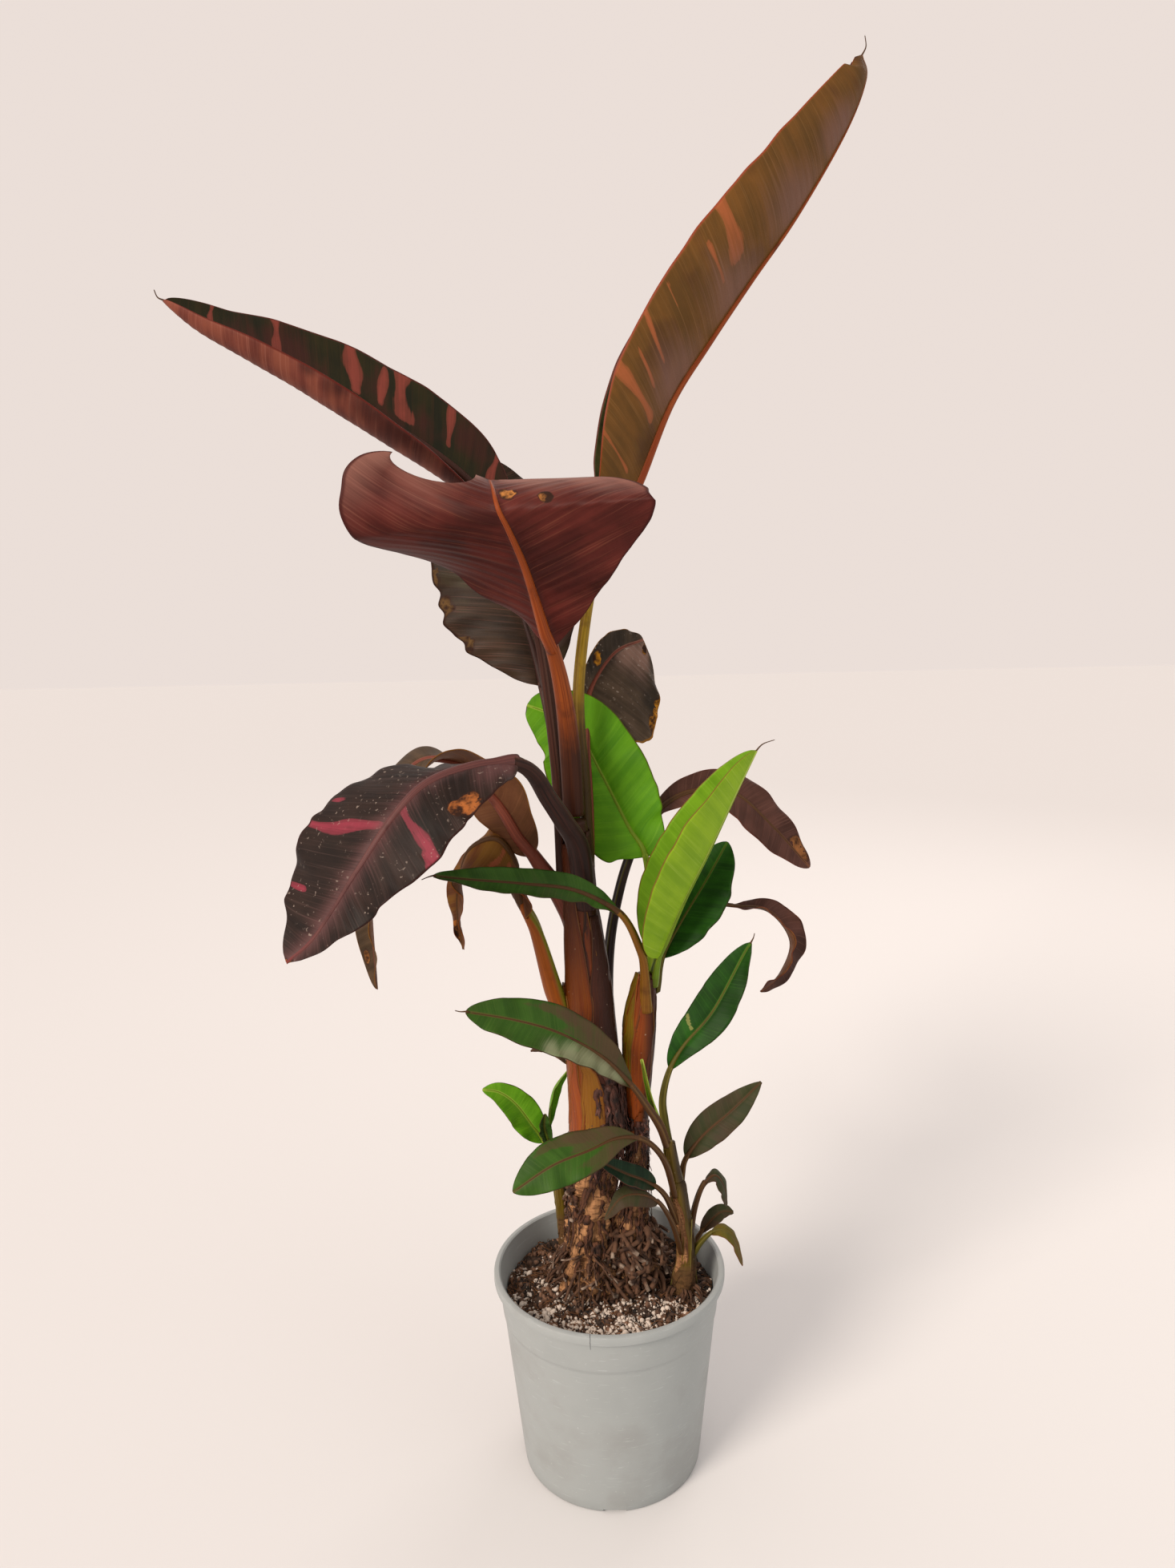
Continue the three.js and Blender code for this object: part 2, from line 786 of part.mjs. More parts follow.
function bladeRing(leaf, route, start, t, grow) {
  const length = start + t * (route.total - start);
  const { centre, upward, right } = leafFrame(leaf, route, length, along(leaf.across, t));
  const rib = THREE.MathUtils.lerp(leaf.stalk[1], TIP_RIB, t);
  const lift = along(leaf.lift, t);
  const curl = along(leaf.curl, t);
  const thick = Math.max(THINNEST_BLADE, LEAST_THICKNESS * (route.total - start)) / 2 + grow;
  const inside = Math.min(Math.max(t, 1e-6), 1 - 1e-6);
  const count = columnsOf(leaf);
  const columns = [{ point: centre, normal: upward, rib: rib * RIB_DEPTH }];
  [0, 1].forEach((side) => {
    const outward = side === 0 ? -1 : 1;
    const width = Math.max(leaf.half[side] * bladeOutline(leaf, side, inside), rib) + grow;
    let point = centre.clone();
    for (let c = 1; c <= count; c++) {
      const share = (c - 0.5) / count;
      const angle = THREE.MathUtils.degToRad(lift[side] + curl[side] * share);
      const step = width / count;
      point = point.clone();
      point.addScaledVector(right, outward * step * Math.cos(angle));
      point.addScaledVector(upward, step * Math.sin(angle));
      const normal = upward.clone().multiplyScalar(Math.cos(angle));
      normal.addScaledVector(right, -outward * Math.sin(angle));
      const column = { point, normal, rib: 0 };
      if (side === 0) columns.unshift(column);
      else columns.push(column);
    }
  });
  const top = columns.map((c) => c.point.clone().addScaledVector(c.normal, thick));
  const under = columns.map((c) => c.point.clone().addScaledVector(c.normal, -thick - c.rib));
  return [...top, ...under.reverse()];
}

function leafPieces(leaf, grow) {
  const route = smoothRoute(leaf.route);
  const start = route.lengthAt(leaf.blade);
  const stalkEnd = start - (leaf.split ? GAP : 0);
  const stalkCount = Math.max(2, Math.round(start / STALK_STEP));
  const stalk = [];
  for (let r = 0; r <= stalkCount; r++) {
    const share = r / stalkCount;
    if (share < 1 || leaf.split) stalk.push(stalkRing(leaf, route, stalkEnd * share, share, grow));
  }
  const blade = [];
  for (let r = 0; r <= leaf.stations; r++) {
    blade.push(bladeRing(leaf, route, start, r / leaf.stations, grow));
  }
  if (leaf.split) return { stalk: skin(stalk), blade: skin(blade) };
  return { whole: skin([...stalk, ...blade]) };
}

function makeLeaf(leaf) {
  const pieces = leafPieces(leaf, 0);
  const grown = leafPieces(leaf, GAP);
  const suffix = { stalk: '_stalk', blade: '_blade', whole: '' };
  for (const part of Object.keys(pieces)) {
    addFitted(leaf.name + suffix[part], leaf.colour, pieces[part], grown[part]);
  }
}

makePot();
makeSoil();
for (const stem of STEMS) {
  addFitted(stem.name, stem.colour, stemGeometry(stem, 0), stemGeometry(stem, GAP));
}
LEAVES.forEach(makeLeaf);

export default plant;
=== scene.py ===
# %% [markdown]
# # A potted banana plant
# A young banana plant is a false stem of rolled leaf bases with broad paddle leaves on stalks.
# This one has a tall stem, a thinner one beside it and two suckers, in a round grey pot. The
# solids are loaded first as a fixed frame: every piece here takes the place of one of them.

import math

import bpy
import numpy as np
from mathutils import Matrix, Vector
from mathutils.kdtree import KDTree


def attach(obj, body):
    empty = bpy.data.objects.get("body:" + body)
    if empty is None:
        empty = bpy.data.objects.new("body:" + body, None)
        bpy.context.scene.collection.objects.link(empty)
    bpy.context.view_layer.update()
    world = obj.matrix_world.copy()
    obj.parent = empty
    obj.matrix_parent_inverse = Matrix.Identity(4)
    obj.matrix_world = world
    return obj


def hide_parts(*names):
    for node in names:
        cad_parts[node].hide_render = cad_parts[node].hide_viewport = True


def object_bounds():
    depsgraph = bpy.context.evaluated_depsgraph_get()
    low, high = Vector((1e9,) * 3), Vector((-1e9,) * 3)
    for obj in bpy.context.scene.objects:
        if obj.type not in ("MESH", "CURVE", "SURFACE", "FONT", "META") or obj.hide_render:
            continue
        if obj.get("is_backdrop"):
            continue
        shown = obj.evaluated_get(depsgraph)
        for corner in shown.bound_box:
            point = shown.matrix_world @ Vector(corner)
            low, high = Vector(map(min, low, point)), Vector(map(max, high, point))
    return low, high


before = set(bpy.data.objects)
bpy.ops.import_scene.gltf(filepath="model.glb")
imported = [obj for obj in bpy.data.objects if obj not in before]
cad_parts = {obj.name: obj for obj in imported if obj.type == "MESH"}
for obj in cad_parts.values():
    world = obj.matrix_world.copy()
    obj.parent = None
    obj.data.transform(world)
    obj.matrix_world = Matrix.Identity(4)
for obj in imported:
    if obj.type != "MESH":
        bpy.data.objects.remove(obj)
cad_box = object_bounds()
bpy.ops.object.select_all(action="DESELECT")
print("solids loaded:", len(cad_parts))

# %% [markdown]
# All sizes below are in millimetres, as on a drawing, and become metres only when a mesh gets
# its points. One seeded generator deals out every accident of growth, so each run is the same.

# %% Units and chance
MM = 0.001
chance = np.random.default_rng(11)


def paint(text):
    """The linear colour of a six-figure hex code."""
    parts = [int(text[i:i + 2], 16) / 255 for i in (0, 2, 4)]
    linear = [p / 12.92 if p <= 0.04045 else ((p + 0.055) / 1.055) ** 2.4 for p in parts]
    return (*linear, 1.0)


def noise_line(length, knots, seed):
    """A smooth chance line with values near -1 to 1, read at places from 0 to 1."""
    values = np.random.default_rng(seed).uniform(-1, 1, knots)
    at = np.linspace(0, 1, knots)

    def read(place):
        near = np.clip(np.asarray(place), 0, 1) * (knots - 1)
        low = np.clip(np.floor(near).astype(int), 0, knots - 2)
        share = near - low
        share = share * share * (3 - 2 * share)
        return (values[low] * (1 - share) + values[low + 1] * share) * length

    return read


print("wave sample:", np.round(noise_line(1.0, 5, 3)(np.linspace(0, 1, 5)), 2))

# %% [markdown]
# A material in Blender is a net of nodes, which could be wired up by hand in the shader
# editor. In a script it reads better as sums, so a small class wraps a socket and lets
# + - * / add the Math nodes.


# %% A shorthand for shader sums
class Wire:
    """One output socket of a material's nodes, which can be reckoned with."""

    def __init__(self, finish, socket):
        self.finish = finish
        self.socket = socket

    def _sum(self, operation, first, second):
        return self.finish.node("ShaderNodeMath", {"operation": operation}, {0: first, 1: second})

    def __add__(self, other):
        return self._sum("ADD", self, other)

    def __radd__(self, other):
        return self._sum("ADD", other, self)

    def __sub__(self, other):
        return self._sum("SUBTRACT", self, other)

    def __rsub__(self, other):
        return self._sum("SUBTRACT", other, self)

    def __mul__(self, other):
        return self._sum("MULTIPLY", self, other)

    def __truediv__(self, other):
        return self._sum("DIVIDE", self, other)

    def __abs__(self):
        return self._sum("ABSOLUTE", self, 0.0)


print("sockets can be added, taken off, multiplied and divided")

# %% [markdown]
# Every other node comes from one method, which sets the node up first and then fills its
# sockets. The short methods after it are the few nodes that this plant needs: a mark stored on
# the points, a place in the object, noise, a soft step from 0 to 1, a mix and a bump.


# %% A finish and its nodes
class Finish:
    """A material that is being built; done() closes it and hands it over."""

    def __init__(self, name):
        self.material = bpy.data.materials.new(name)
        self.material.use_nodes = True
        self.tree = self.material.node_tree
        self.tree.nodes.clear()

    def node(self, kind, settings, sockets, out=0):
        made = self.tree.nodes.new(kind)
        for key, value in settings.items():
            setattr(made, key, value)
        for key, value in sockets.items():
            if isinstance(value, Wire):
                self.tree.links.new(value.socket, made.inputs[key])
            else:
                made.inputs[key].default_value = value
        return Wire(self, made.outputs[out])

    def three(self, vector):
        first = self.node("ShaderNodeSeparateXYZ", {}, {0: vector})
        return [Wire(self, output) for output in first.socket.node.outputs]

    def mark(self, name):
        found = self.node("ShaderNodeAttribute", {"attribute_name": name}, {}, 1)
        return self.three(found)

    def place(self):
        return self.node("ShaderNodeTexCoord", {}, {}, 3)

    def at(self, x, y, z):
        return self.node("ShaderNodeCombineXYZ", {}, {0: x, 1: y, 2: z})

    def noise(self, vector, scale, detail=3.0, rough=0.55):
        sockets = {"Vector": vector, "Scale": scale, "Detail": detail, "Roughness": rough}
        return self.node("ShaderNodeTexNoise", {}, sockets)

    def fade(self, value, low, high):
        sockets = {0: value, 1: low, 2: high, 3: 0.0, 4: 1.0}
        return self.node("ShaderNodeMapRange", {"interpolation_type": "SMOOTHSTEP"}, sockets)

    def mix(self, share, first, second):
        return self.node("ShaderNodeMix", {"data_type": "RGBA"}, {0: share, 6: first, 7: second}, 2)

    def bump(self, height, distance, strength=0.6):
        sockets = {"Strength": strength, "Distance": distance, "Height": height}
        return self.node("ShaderNodeBump", {}, sockets)

    def done(self, colour, rough, normal=None, **fixed):
        sockets = {"Base Color": colour, "Roughness": rough}
        if normal is not None:
            sockets["Normal"] = normal
        sockets.update({key.replace("_", " "): value for key, value in fixed.items()})
        skin = self.node("ShaderNodeBsdfPrincipled", {}, sockets)
        end = self.tree.nodes.new("ShaderNodeOutputMaterial")
        self.tree.links.new(skin.socket, end.inputs[0])
        return self.material


print("finish methods:", ", ".join(name for name in vars(Finish) if name[0] != "_"))

# %% [markdown]
# Almost every piece of this plant is a sheet or a tube that follows a bent line. By hand it
# would be a grid laid along a curve. Here a grid primitive is added, and each of its points is
# moved by a rule that knows how far across (u) and along (v) the point lies.


# %% Grids that follow a rule
def grid_piece(name, across, along, place):
    bpy.ops.object.select_all(action="DESELECT")
    bpy.ops.mesh.primitive_grid_add(x_subdivisions=across, y_subdivisions=along, size=1)
    piece = bpy.context.object
    piece.name = name
    mesh = piece.data
    flat = np.empty(len(mesh.vertices) * 3)
    mesh.vertices.foreach_get("co", flat)
    flat = flat.reshape(-1, 3)
    u = np.clip(flat[:, 0] + 0.5, 0, 1)
    v = np.clip(flat[:, 1] + 0.5, 0, 1)
    points, lie, marks = place(u, v)
    mesh.vertices.foreach_set("co", (points * MM).ravel())
    for label, values in (("lie", lie), ("marks", marks)):
        layer = mesh.attributes.new(label, "FLOAT_VECTOR", "POINT")
        layer.data.foreach_set("vector", np.ascontiguousarray(values, dtype=float).ravel())
    mesh.update()
    return piece


def use_only(piece):
    bpy.ops.object.select_all(action="DESELECT")
    piece.select_set(True)
    bpy.context.view_layer.objects.active = piece


def close_seam(piece):
    """Joins points that lie on each other and turns every face outwards."""
    use_only(piece)
    bpy.ops.object.mode_set(mode="EDIT")
    bpy.ops.mesh.select_all(action="SELECT")
    bpy.ops.mesh.remove_doubles(threshold=2e-6)
    bpy.ops.mesh.dissolve_degenerate(threshold=1e-7)
    bpy.ops.mesh.select_all(action="SELECT")
    bpy.ops.mesh.normals_make_consistent(inside=False)
    bpy.ops.object.mode_set(mode="OBJECT")


def thicken(piece, thickness, under_slot=1):
    """Gives a sheet a real thickness; its lower face gets the material in under_slot."""
    use_only(piece)
    wall = piece.modifiers.new("wall", "SOLIDIFY")
    wall.thickness = thickness * MM
    wall.offset = -1
    wall.use_even_offset = False
    wall.material_offset = under_slot
    bpy.ops.object.modifier_apply(modifier="wall")


def join(pieces):
    bpy.ops.object.select_all(action="DESELECT")
    for piece in pieces:
        piece.select_set(True)
    bpy.context.view_layer.objects.active = pieces[0]
    bpy.ops.object.join()
    return pieces[0]


def cut_away(piece, cutter):
    """Takes the cutter's shape out of a piece, and the cutter out of the scene."""
    use_only(piece)
    cut = piece.modifiers.new("cut", "BOOLEAN")
    cut.operation = "DIFFERENCE"
    cut.object = cutter
    bpy.ops.object.modifier_apply(modifier="cut")
    bpy.data.objects.remove(cutter)


def hand_over(piece, node):
    """Lets a finished piece ride on the plant's only body, in the place of a solid."""
    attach(piece, "root")
    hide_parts(node)
    return piece


def stand_for(piece, node):
    use_only(piece)
    bpy.ops.object.shade_smooth()
    piece.name = node + "_look"
    return hand_over(piece, node)


def closed_ends(v):
    """0 at both ends of a tube and 1 between, to draw each end together to a point."""
    return np.where((v < 1e-6) | (v > 1 - 1e-6), 0, 1)


print("grid helpers ready")

# %% [markdown]
# A leaf's midrib is one smooth line through a few points. The line is read by its length, and
# at each place it has a way forward, a way over to the leaf's right edge and a way up.


# %% A smooth line through points
class Route:
    def __init__(self, points, samples=24):
        points = np.array(points, float)
        ends = np.vstack([2 * points[0] - points[1], points, 2 * points[-1] - points[-2]])
        share = np.arange(samples)[:, None] / samples
        rows = []
        for i in range(1, len(ends) - 2):
            a, b, c, d = ends[i - 1:i + 3]
            start, stop = (c - a) / 2, (d - b) / 2
            rows.append((2 * b - 2 * c + start + stop) * share ** 3
                        + (3 * c - 3 * b - 2 * start - stop) * share ** 2 + start * share + b)
        rows.append(points[-1:])
        self.fine = np.vstack(rows)
        steps = np.linalg.norm(np.diff(self.fine, axis=0), axis=1)
        self.lengths = np.concatenate([[0], np.cumsum(steps)])
        self.total = self.lengths[-1]
        self.samples = samples

    def at(self, length):
        columns = [np.interp(length, self.lengths, self.fine[:, k])
                   for k in range(self.fine.shape[1])]
        return np.stack(columns, axis=-1)

    def forward(self, length):
        way = self.at(np.minimum(length + 1, self.total)) - self.at(np.maximum(length - 1, 0))
        return way / np.linalg.norm(way, axis=-1, keepdims=True)

    def length_at(self, index):
        return self.lengths[round(index * self.samples)]


def spread(rows, t):
    rows = np.array(rows, float)
    if len(rows) == 1:
        return np.repeat(rows, len(t), axis=0)
    at = np.linspace(0, 1, len(rows))
    return np.stack([np.interp(t, at, rows[:, k]) for k in range(rows.shape[1])], axis=-1)


def leaf_frame(route, length, across, skewed=False):
    forward = route.forward(length)
    right = across
    if not skewed:
        right = across - forward * np.sum(across * forward, axis=1, keepdims=True)
    right = right / np.linalg.norm(right, axis=1, keepdims=True)
    upward = np.cross(right, forward)
    upward /= np.linalg.norm(upward, axis=1, keepdims=True)
    return route.at(length), right, upward


print("a straight test line is", Route([[0, 0, 0], [0, 0, 50], [0, 0, 100]]).total, "mm long")

# %% [markdown]
# The light comes first, because colours are judged in it. The room is plain: a pale floor, a
# soft key light from the left, a weaker cool one from the right and an even pale sky. The key
# is a wide sun, so that the floor is as bright far away as near and meets the sky unseen.

# %% Floor, light and camera
bpy.ops.mesh.primitive_plane_add(size=14)
floor = bpy.context.object
floor.name = "floor"
ground = Finish("pale_floor")
floor.data.materials.append(ground.done(paint("d3d3d4"), 0.9))
floor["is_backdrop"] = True

sky = bpy.data.worlds.new("pale_sky")
sky.use_nodes = True
even_light = sky.node_tree.nodes["Background"]
even_light.inputs["Color"].default_value = paint("fbeee7")
even_light.inputs["Strength"].default_value = 0.86
bpy.context.scene.world = sky
bpy.context.scene.view_settings.view_transform = "Standard"


def soft_light(name, place, target, size, power, colour, kind="AREA"):
    bpy.ops.object.light_add(type=kind, location=place)
    light = bpy.context.object
    light.name = name
    if kind == "SUN":
        light.data.angle = size
    else:
        light.data.size = size
    light.data.energy = power
    light.data.color = paint(colour)[:3]
    way = np.array(target) - np.array(place)
    flat = math.hypot(way[0], way[1])
    light.rotation_euler = (math.atan2(flat, -way[2]), 0, math.atan2(-way[0], way[1]))


soft_light("key", (-1.5, -1.6, 1.9), (0, 0, 0.6), 0.4, 2.9, "fff0e2", "SUN")
soft_light("fill", (1.8, -1.4, 1.0), (0, 0, 0.6), 1.4, 6, "dff4f0")
soft_light("back", (0.9, 1.6, 1.8), (0, 0, 0.7), 1.2, 10, "fff6ee")

# %% [markdown]
# The camera stands where the photographer's stood: close in front, a little above the middle
# of the plant, tipped down and very slightly rolled. A wide lens gives the same strong
# perspective, in which the pot tapers more than it really does.

# %% Camera
CAMERA_PLACE = (-0.0094, -0.8436, 0.730)
TIPPED_DOWN = 10.7
ROLLED = 1.21
LENS = 26.02
SENSOR = 36

bpy.ops.object.camera_add(location=CAMERA_PLACE)
camera = bpy.context.object
pitch = Matrix.Rotation(math.radians(90 - TIPPED_DOWN), 4, "X")
roll = Matrix.Rotation(math.radians(-ROLLED), 4, "Z")
camera.matrix_world = Matrix.Translation(camera.location) @ pitch @ roll
camera.data.lens = LENS
camera.data.sensor_width = SENSOR
camera.data.clip_end = 50
bpy.context.scene.camera = camera
print("camera", round(camera.data.lens, 2), "mm")

# %% [markdown]
# The pot is a plain moulded nursery pot: a tapering wall, a small step with a band above it, a
# rolled lip and shallow drain notches in the foot. It could be a cylinder pushed into shape,
# but a turned shape is better told by its section, spun round an axis. The section starts as
# a ring of points, so the wall is closed before it is spun. The notches are cut afterwards.

# %% Pot shape
POT_HEIGHT = 170
FOOT_RADIUS = 73.5
RIM_RADIUS = 94.5
WALL = 3
LIP_HEIGHT = 8
LIP_WIDTH = 5
STEP_HEIGHT = 134
BAND = 0.8


def pot_radius(height):
    return FOOT_RADIUS + (RIM_RADIUS - LIP_WIDTH + 1 - FOOT_RADIUS) / POT_HEIGHT * height


def turned(name, section, steps):
    bpy.ops.object.select_all(action="DESELECT")
    bpy.ops.mesh.primitive_circle_add(vertices=len(section), radius=1)
    piece = bpy.context.object
    piece.name = name
    for vertex, (radius, height) in zip(piece.data.vertices, section):
        vertex.co = (radius * MM, 0, height * MM)
    bpy.ops.object.mode_set(mode="EDIT")
    bpy.ops.mesh.select_all(action="SELECT")
    bpy.ops.mesh.spin(steps=steps, angle=2 * math.pi, center=(0, 0, 0), axis=(0, 0, 1))
    bpy.ops.object.mode_set(mode="OBJECT")
    close_seam(piece)
    return piece


lip_foot = POT_HEIGHT - LIP_HEIGHT
inside_lip = RIM_RADIUS - LIP_WIDTH
outer = [(0, 0), (30, 0), (62, 0), (FOOT_RADIUS - 3, 0), (FOOT_RADIUS - 1, 0.5), (FOOT_RADIUS, 2)]
outer += [(pot_radius(z), z) for z in range(12, STEP_HEIGHT, 12)]
outer += [(pot_radius(STEP_HEIGHT + rise) + out, STEP_HEIGHT + rise)
          for rise, out in ((0, 0), (1, 0.6), (3, BAND), (16, BAND))]
outer += [(pot_radius(lip_foot) + BAND, lip_foot - 0.4), (RIM_RADIUS - 1.2, lip_foot)]
outer += [(RIM_RADIUS - 0.2, lip_foot + 0.8), (RIM_RADIUS, lip_foot + 2)]
outer += [(RIM_RADIUS - back, POT_HEIGHT - down)
          for back, down in ((0, 2.4), (0.5, 0.8), (1.8, 0), (4, 0))]
outer += [(inside_lip - 0.2, POT_HEIGHT - 1), (pot_radius(160) - WALL + 1, 160)]
inner = [(pot_radius(z) - WALL, z) for z in range(154, 3, -15)]
inner += [(pot_radius(3) - WALL - 2, WALL), (0, WALL)]
pot = turned("pot_look", outer + inner, 180)
print("pot wall:", len(outer), "points outside,", len(inner), "inside")

# %% Drain notches
NOTCHES = 4
NOTCH = (6, 18, 6)

for number in range(NOTCHES):
    angle = (number / NOTCHES - 0.25) * 2 * math.pi
    place = (FOOT_RADIUS * MM * math.cos(angle), FOOT_RADIUS * MM * math.sin(angle), 0)
    bpy.ops.mesh.primitive_cube_add(size=1, location=place, rotation=(0, 0, angle))
    cutter = bpy.context.object
    cutter.scale = [side * MM for side in NOTCH]
    cut_away(pot, cutter)
print("pot faces:", len(pot.data.polygons))

# %% [markdown]
# Grey pot plastic is never clean: water leaves pale lime below the rim, soil dust clings in
# the lower half, and shelves scuff it round the step. Noise at three sizes gives these marks.
# The lip has one hairline split at the front, drawn as a dark line with a place and a height.

# %% Pot plastic
SPLIT_AT = -0.0162
grey = Finish("pot_plastic")
where = grey.place()
px, py, pz = grey.three(where)
cloud = grey.noise(where, 22.0, 5.0)
specks = grey.noise(where, 420.0, 2.0)
scratch_place = grey.at(px * 60.0, py * 60.0, pz * 900.0)
scratch = grey.fade(grey.noise(scratch_place, 1.0, 3.0), 0.62, 0.72)
grime = grey.fade(cloud + (0.16 - pz) * 0.8, 0.5, 0.78)
body = grey.mix(cloud, paint("8a9090"), paint("9da2a2"))
body = grey.mix(grime * 0.3, body, paint("6c6a66"))
body = grey.mix(scratch * 0.25, body, paint("c2cacd"))
body = grey.mix(grey.fade(specks, 0.7, 0.78) * 0.25, body, paint("d2d6d6"))
split = 1.0 - grey.fade(abs(px - SPLIT_AT + (specks - 0.5) * 0.0008), 0.0001, 0.0005)
split = split * grey.fade(pz, 0.155, 0.158) * grey.fade(py * -1.0, 0.0, 0.01)
body = grey.mix(split * 0.8, body, paint("3a3c3e"))
rough = 0.4 + cloud * 0.2
pot.data.materials.append(grey.done(body, rough, grey.bump(specks, 0.0002, 0.25)))
use_only(pot)
bpy.ops.object.shade_smooth_by_angle(angle=math.radians(35))
hand_over(pot, "pot")
print("pot done")

# %% [markdown]
# Potting mix is dark crumbs with pale grains of perlite and root fibres on top. A sculpted
# disc would be one way. Here the ground is a grid bent to a disc, whose relief comes from a
# few sine waves, and the same rule tells later where a crumb or a root touches the ground.

# %% Soil ground
SOIL_LEVEL = 150
SOIL_RIM = 146
SOIL_FOOT = 3.4


def ground_height(x, y):
    """How high the potting mix stands, a little higher at the front and round the stems."""
    swell = 3.0 * np.sin(x * 0.09 + 1.3) * np.cos(y * 0.11)
    swell = swell + 1.6 * np.sin(x * 0.31) * np.sin(y * 0.27)
    fine = 0.8 * np.sin(x * 0.9 + 2 * np.sin(y * 0.5)) * np.sin(y * 1.1 + 0.7)
    front = 4.0 * np.clip(-y / 80, 0, 1)
    mound = 5.0 * np.exp(-((x - 2) ** 2 + y ** 2) / 45 ** 2)
    return SOIL_LEVEL - 3.0 + swell + fine + front + mound


def soil_place(u, v):
    angle = u * 2 * np.pi
    edge = pot_radius(SOIL_RIM) - WALL - 0.5
    radius = np.interp(v, [0, 0.9, 0.95, 1], [0, edge, pot_radius(4) - WALL - 0.8, 0])
    x = radius * np.cos(angle)
    y = radius * np.sin(angle)
    below = np.interp(v, [0.9, 0.95], [SOIL_RIM, SOIL_FOOT])
    height = np.where(v <= 0.9001, ground_height(x, y), below)
    points = np.stack([x, y, height], axis=1)
    return points, points * 0, points * 0


soil = grid_piece("soil_look", 220, 110, soil_place)
close_seam(soil)
mix = Finish("potting_mix")
where = mix.place()
crumb = mix.noise(where, 260.0, 6.0, 0.7)
patch = mix.noise(where, 35.0, 3.0)
dark = mix.mix(crumb, paint("110c0a"), paint("4a382c"))
dark = mix.mix(mix.fade(patch, 0.5, 0.7) * 0.4, dark, paint("5b4433"))
soil.data.materials.append(mix.done(dark, 0.95, mix.bump(crumb, 0.0015, 1.0)))
stand_for(soil, "soil")
print("soil faces:", len(soil.data.polygons))

# %% [markdown]
# Crumbs and grains could be a particle system. For a part that has to travel they are plain
# meshes: a lump is modelled once and copied by arithmetic, each copy turned, stretched and set
# down on the ground, and all of them together are one piece.


# %% Many copies in one mesh
def mesh_piece(name, points, faces, count, material):
    """One mesh from the points of COUNT copies in a row, with one copy's faces."""
    step = len(points) // count
    every_face = [tuple(int(i) + n * step for i in face) for n in range(count) for face in faces]
    mesh = bpy.data.meshes.new(name)
    mesh.from_pydata((points * MM).tolist(), [], every_face)
    mesh.materials.append(material)
    piece = bpy.data.objects.new(name, mesh)
    bpy.context.collection.objects.link(piece)
    return piece


def shape_of(maker, **settings):
    bpy.ops.object.select_all(action="DESELECT")
    maker(**settings)
    piece = bpy.context.object
    points = np.array([v.co[:] for v in piece.data.vertices])
    faces = [tuple(p.vertices) for p in piece.data.polygons]
    bpy.data.objects.remove(piece)
    return points, faces


def random_turns(count):
    quaternions = chance.normal(size=(count, 4))
    quaternions /= np.linalg.norm(quaternions, axis=1, keepdims=True)
    w, x, y, z = quaternions.T
    rows = [[1 - 2 * (y * y + z * z), 2 * (x * y - z * w), 2 * (x * z + y * w)],
            [2 * (x * y + z * w), 1 - 2 * (x * x + z * z), 2 * (y * z - x * w)],
            [2 * (x * z - y * w), 2 * (y * z + x * w), 1 - 2 * (x * x + y * y)]]
    return np.moveaxis(np.array(rows), 2, 0)


def scatter(name, shape, places, sizes, material, node):
    points, faces = shape
    count = len(places)
    bumpy = points[None] * chance.uniform(0.75, 1.25, (count, len(points), 1))
    stretched = bumpy * sizes[:, None, :]
    turned_points = np.einsum("nij,nkj->nki", random_turns(count), stretched)
    placed = turned_points + places[:, None, :]
    piece = mesh_piece(name, placed.reshape(-1, 3), faces, count, material)
    use_only(piece)
    bpy.ops.object.shade_smooth()
    hand_over(piece, node)


def on_ground(count, inner_radius, outer_radius):
    angle = chance.uniform(0, 2 * np.pi, count)
    radius = np.sqrt(chance.uniform(inner_radius ** 2, outer_radius ** 2, count))
    x = radius * np.cos(angle)
    y = radius * np.sin(angle)
    return np.stack([x, y, ground_height(x, y)], axis=1)


lump = shape_of(bpy.ops.mesh.primitive_ico_sphere_add, subdivisions=1, radius=1)
print("a lump has", len(lump[0]), "points")

# %% [markdown]
# Roots, fibres and torn strips are all thin tubes, round or flat. One curve object with a
# bevel for each would make hundreds of objects, so a helper grows a whole batch of tubes in a
# single mesh and stores on each point which tube it belongs to and how far along it lies.


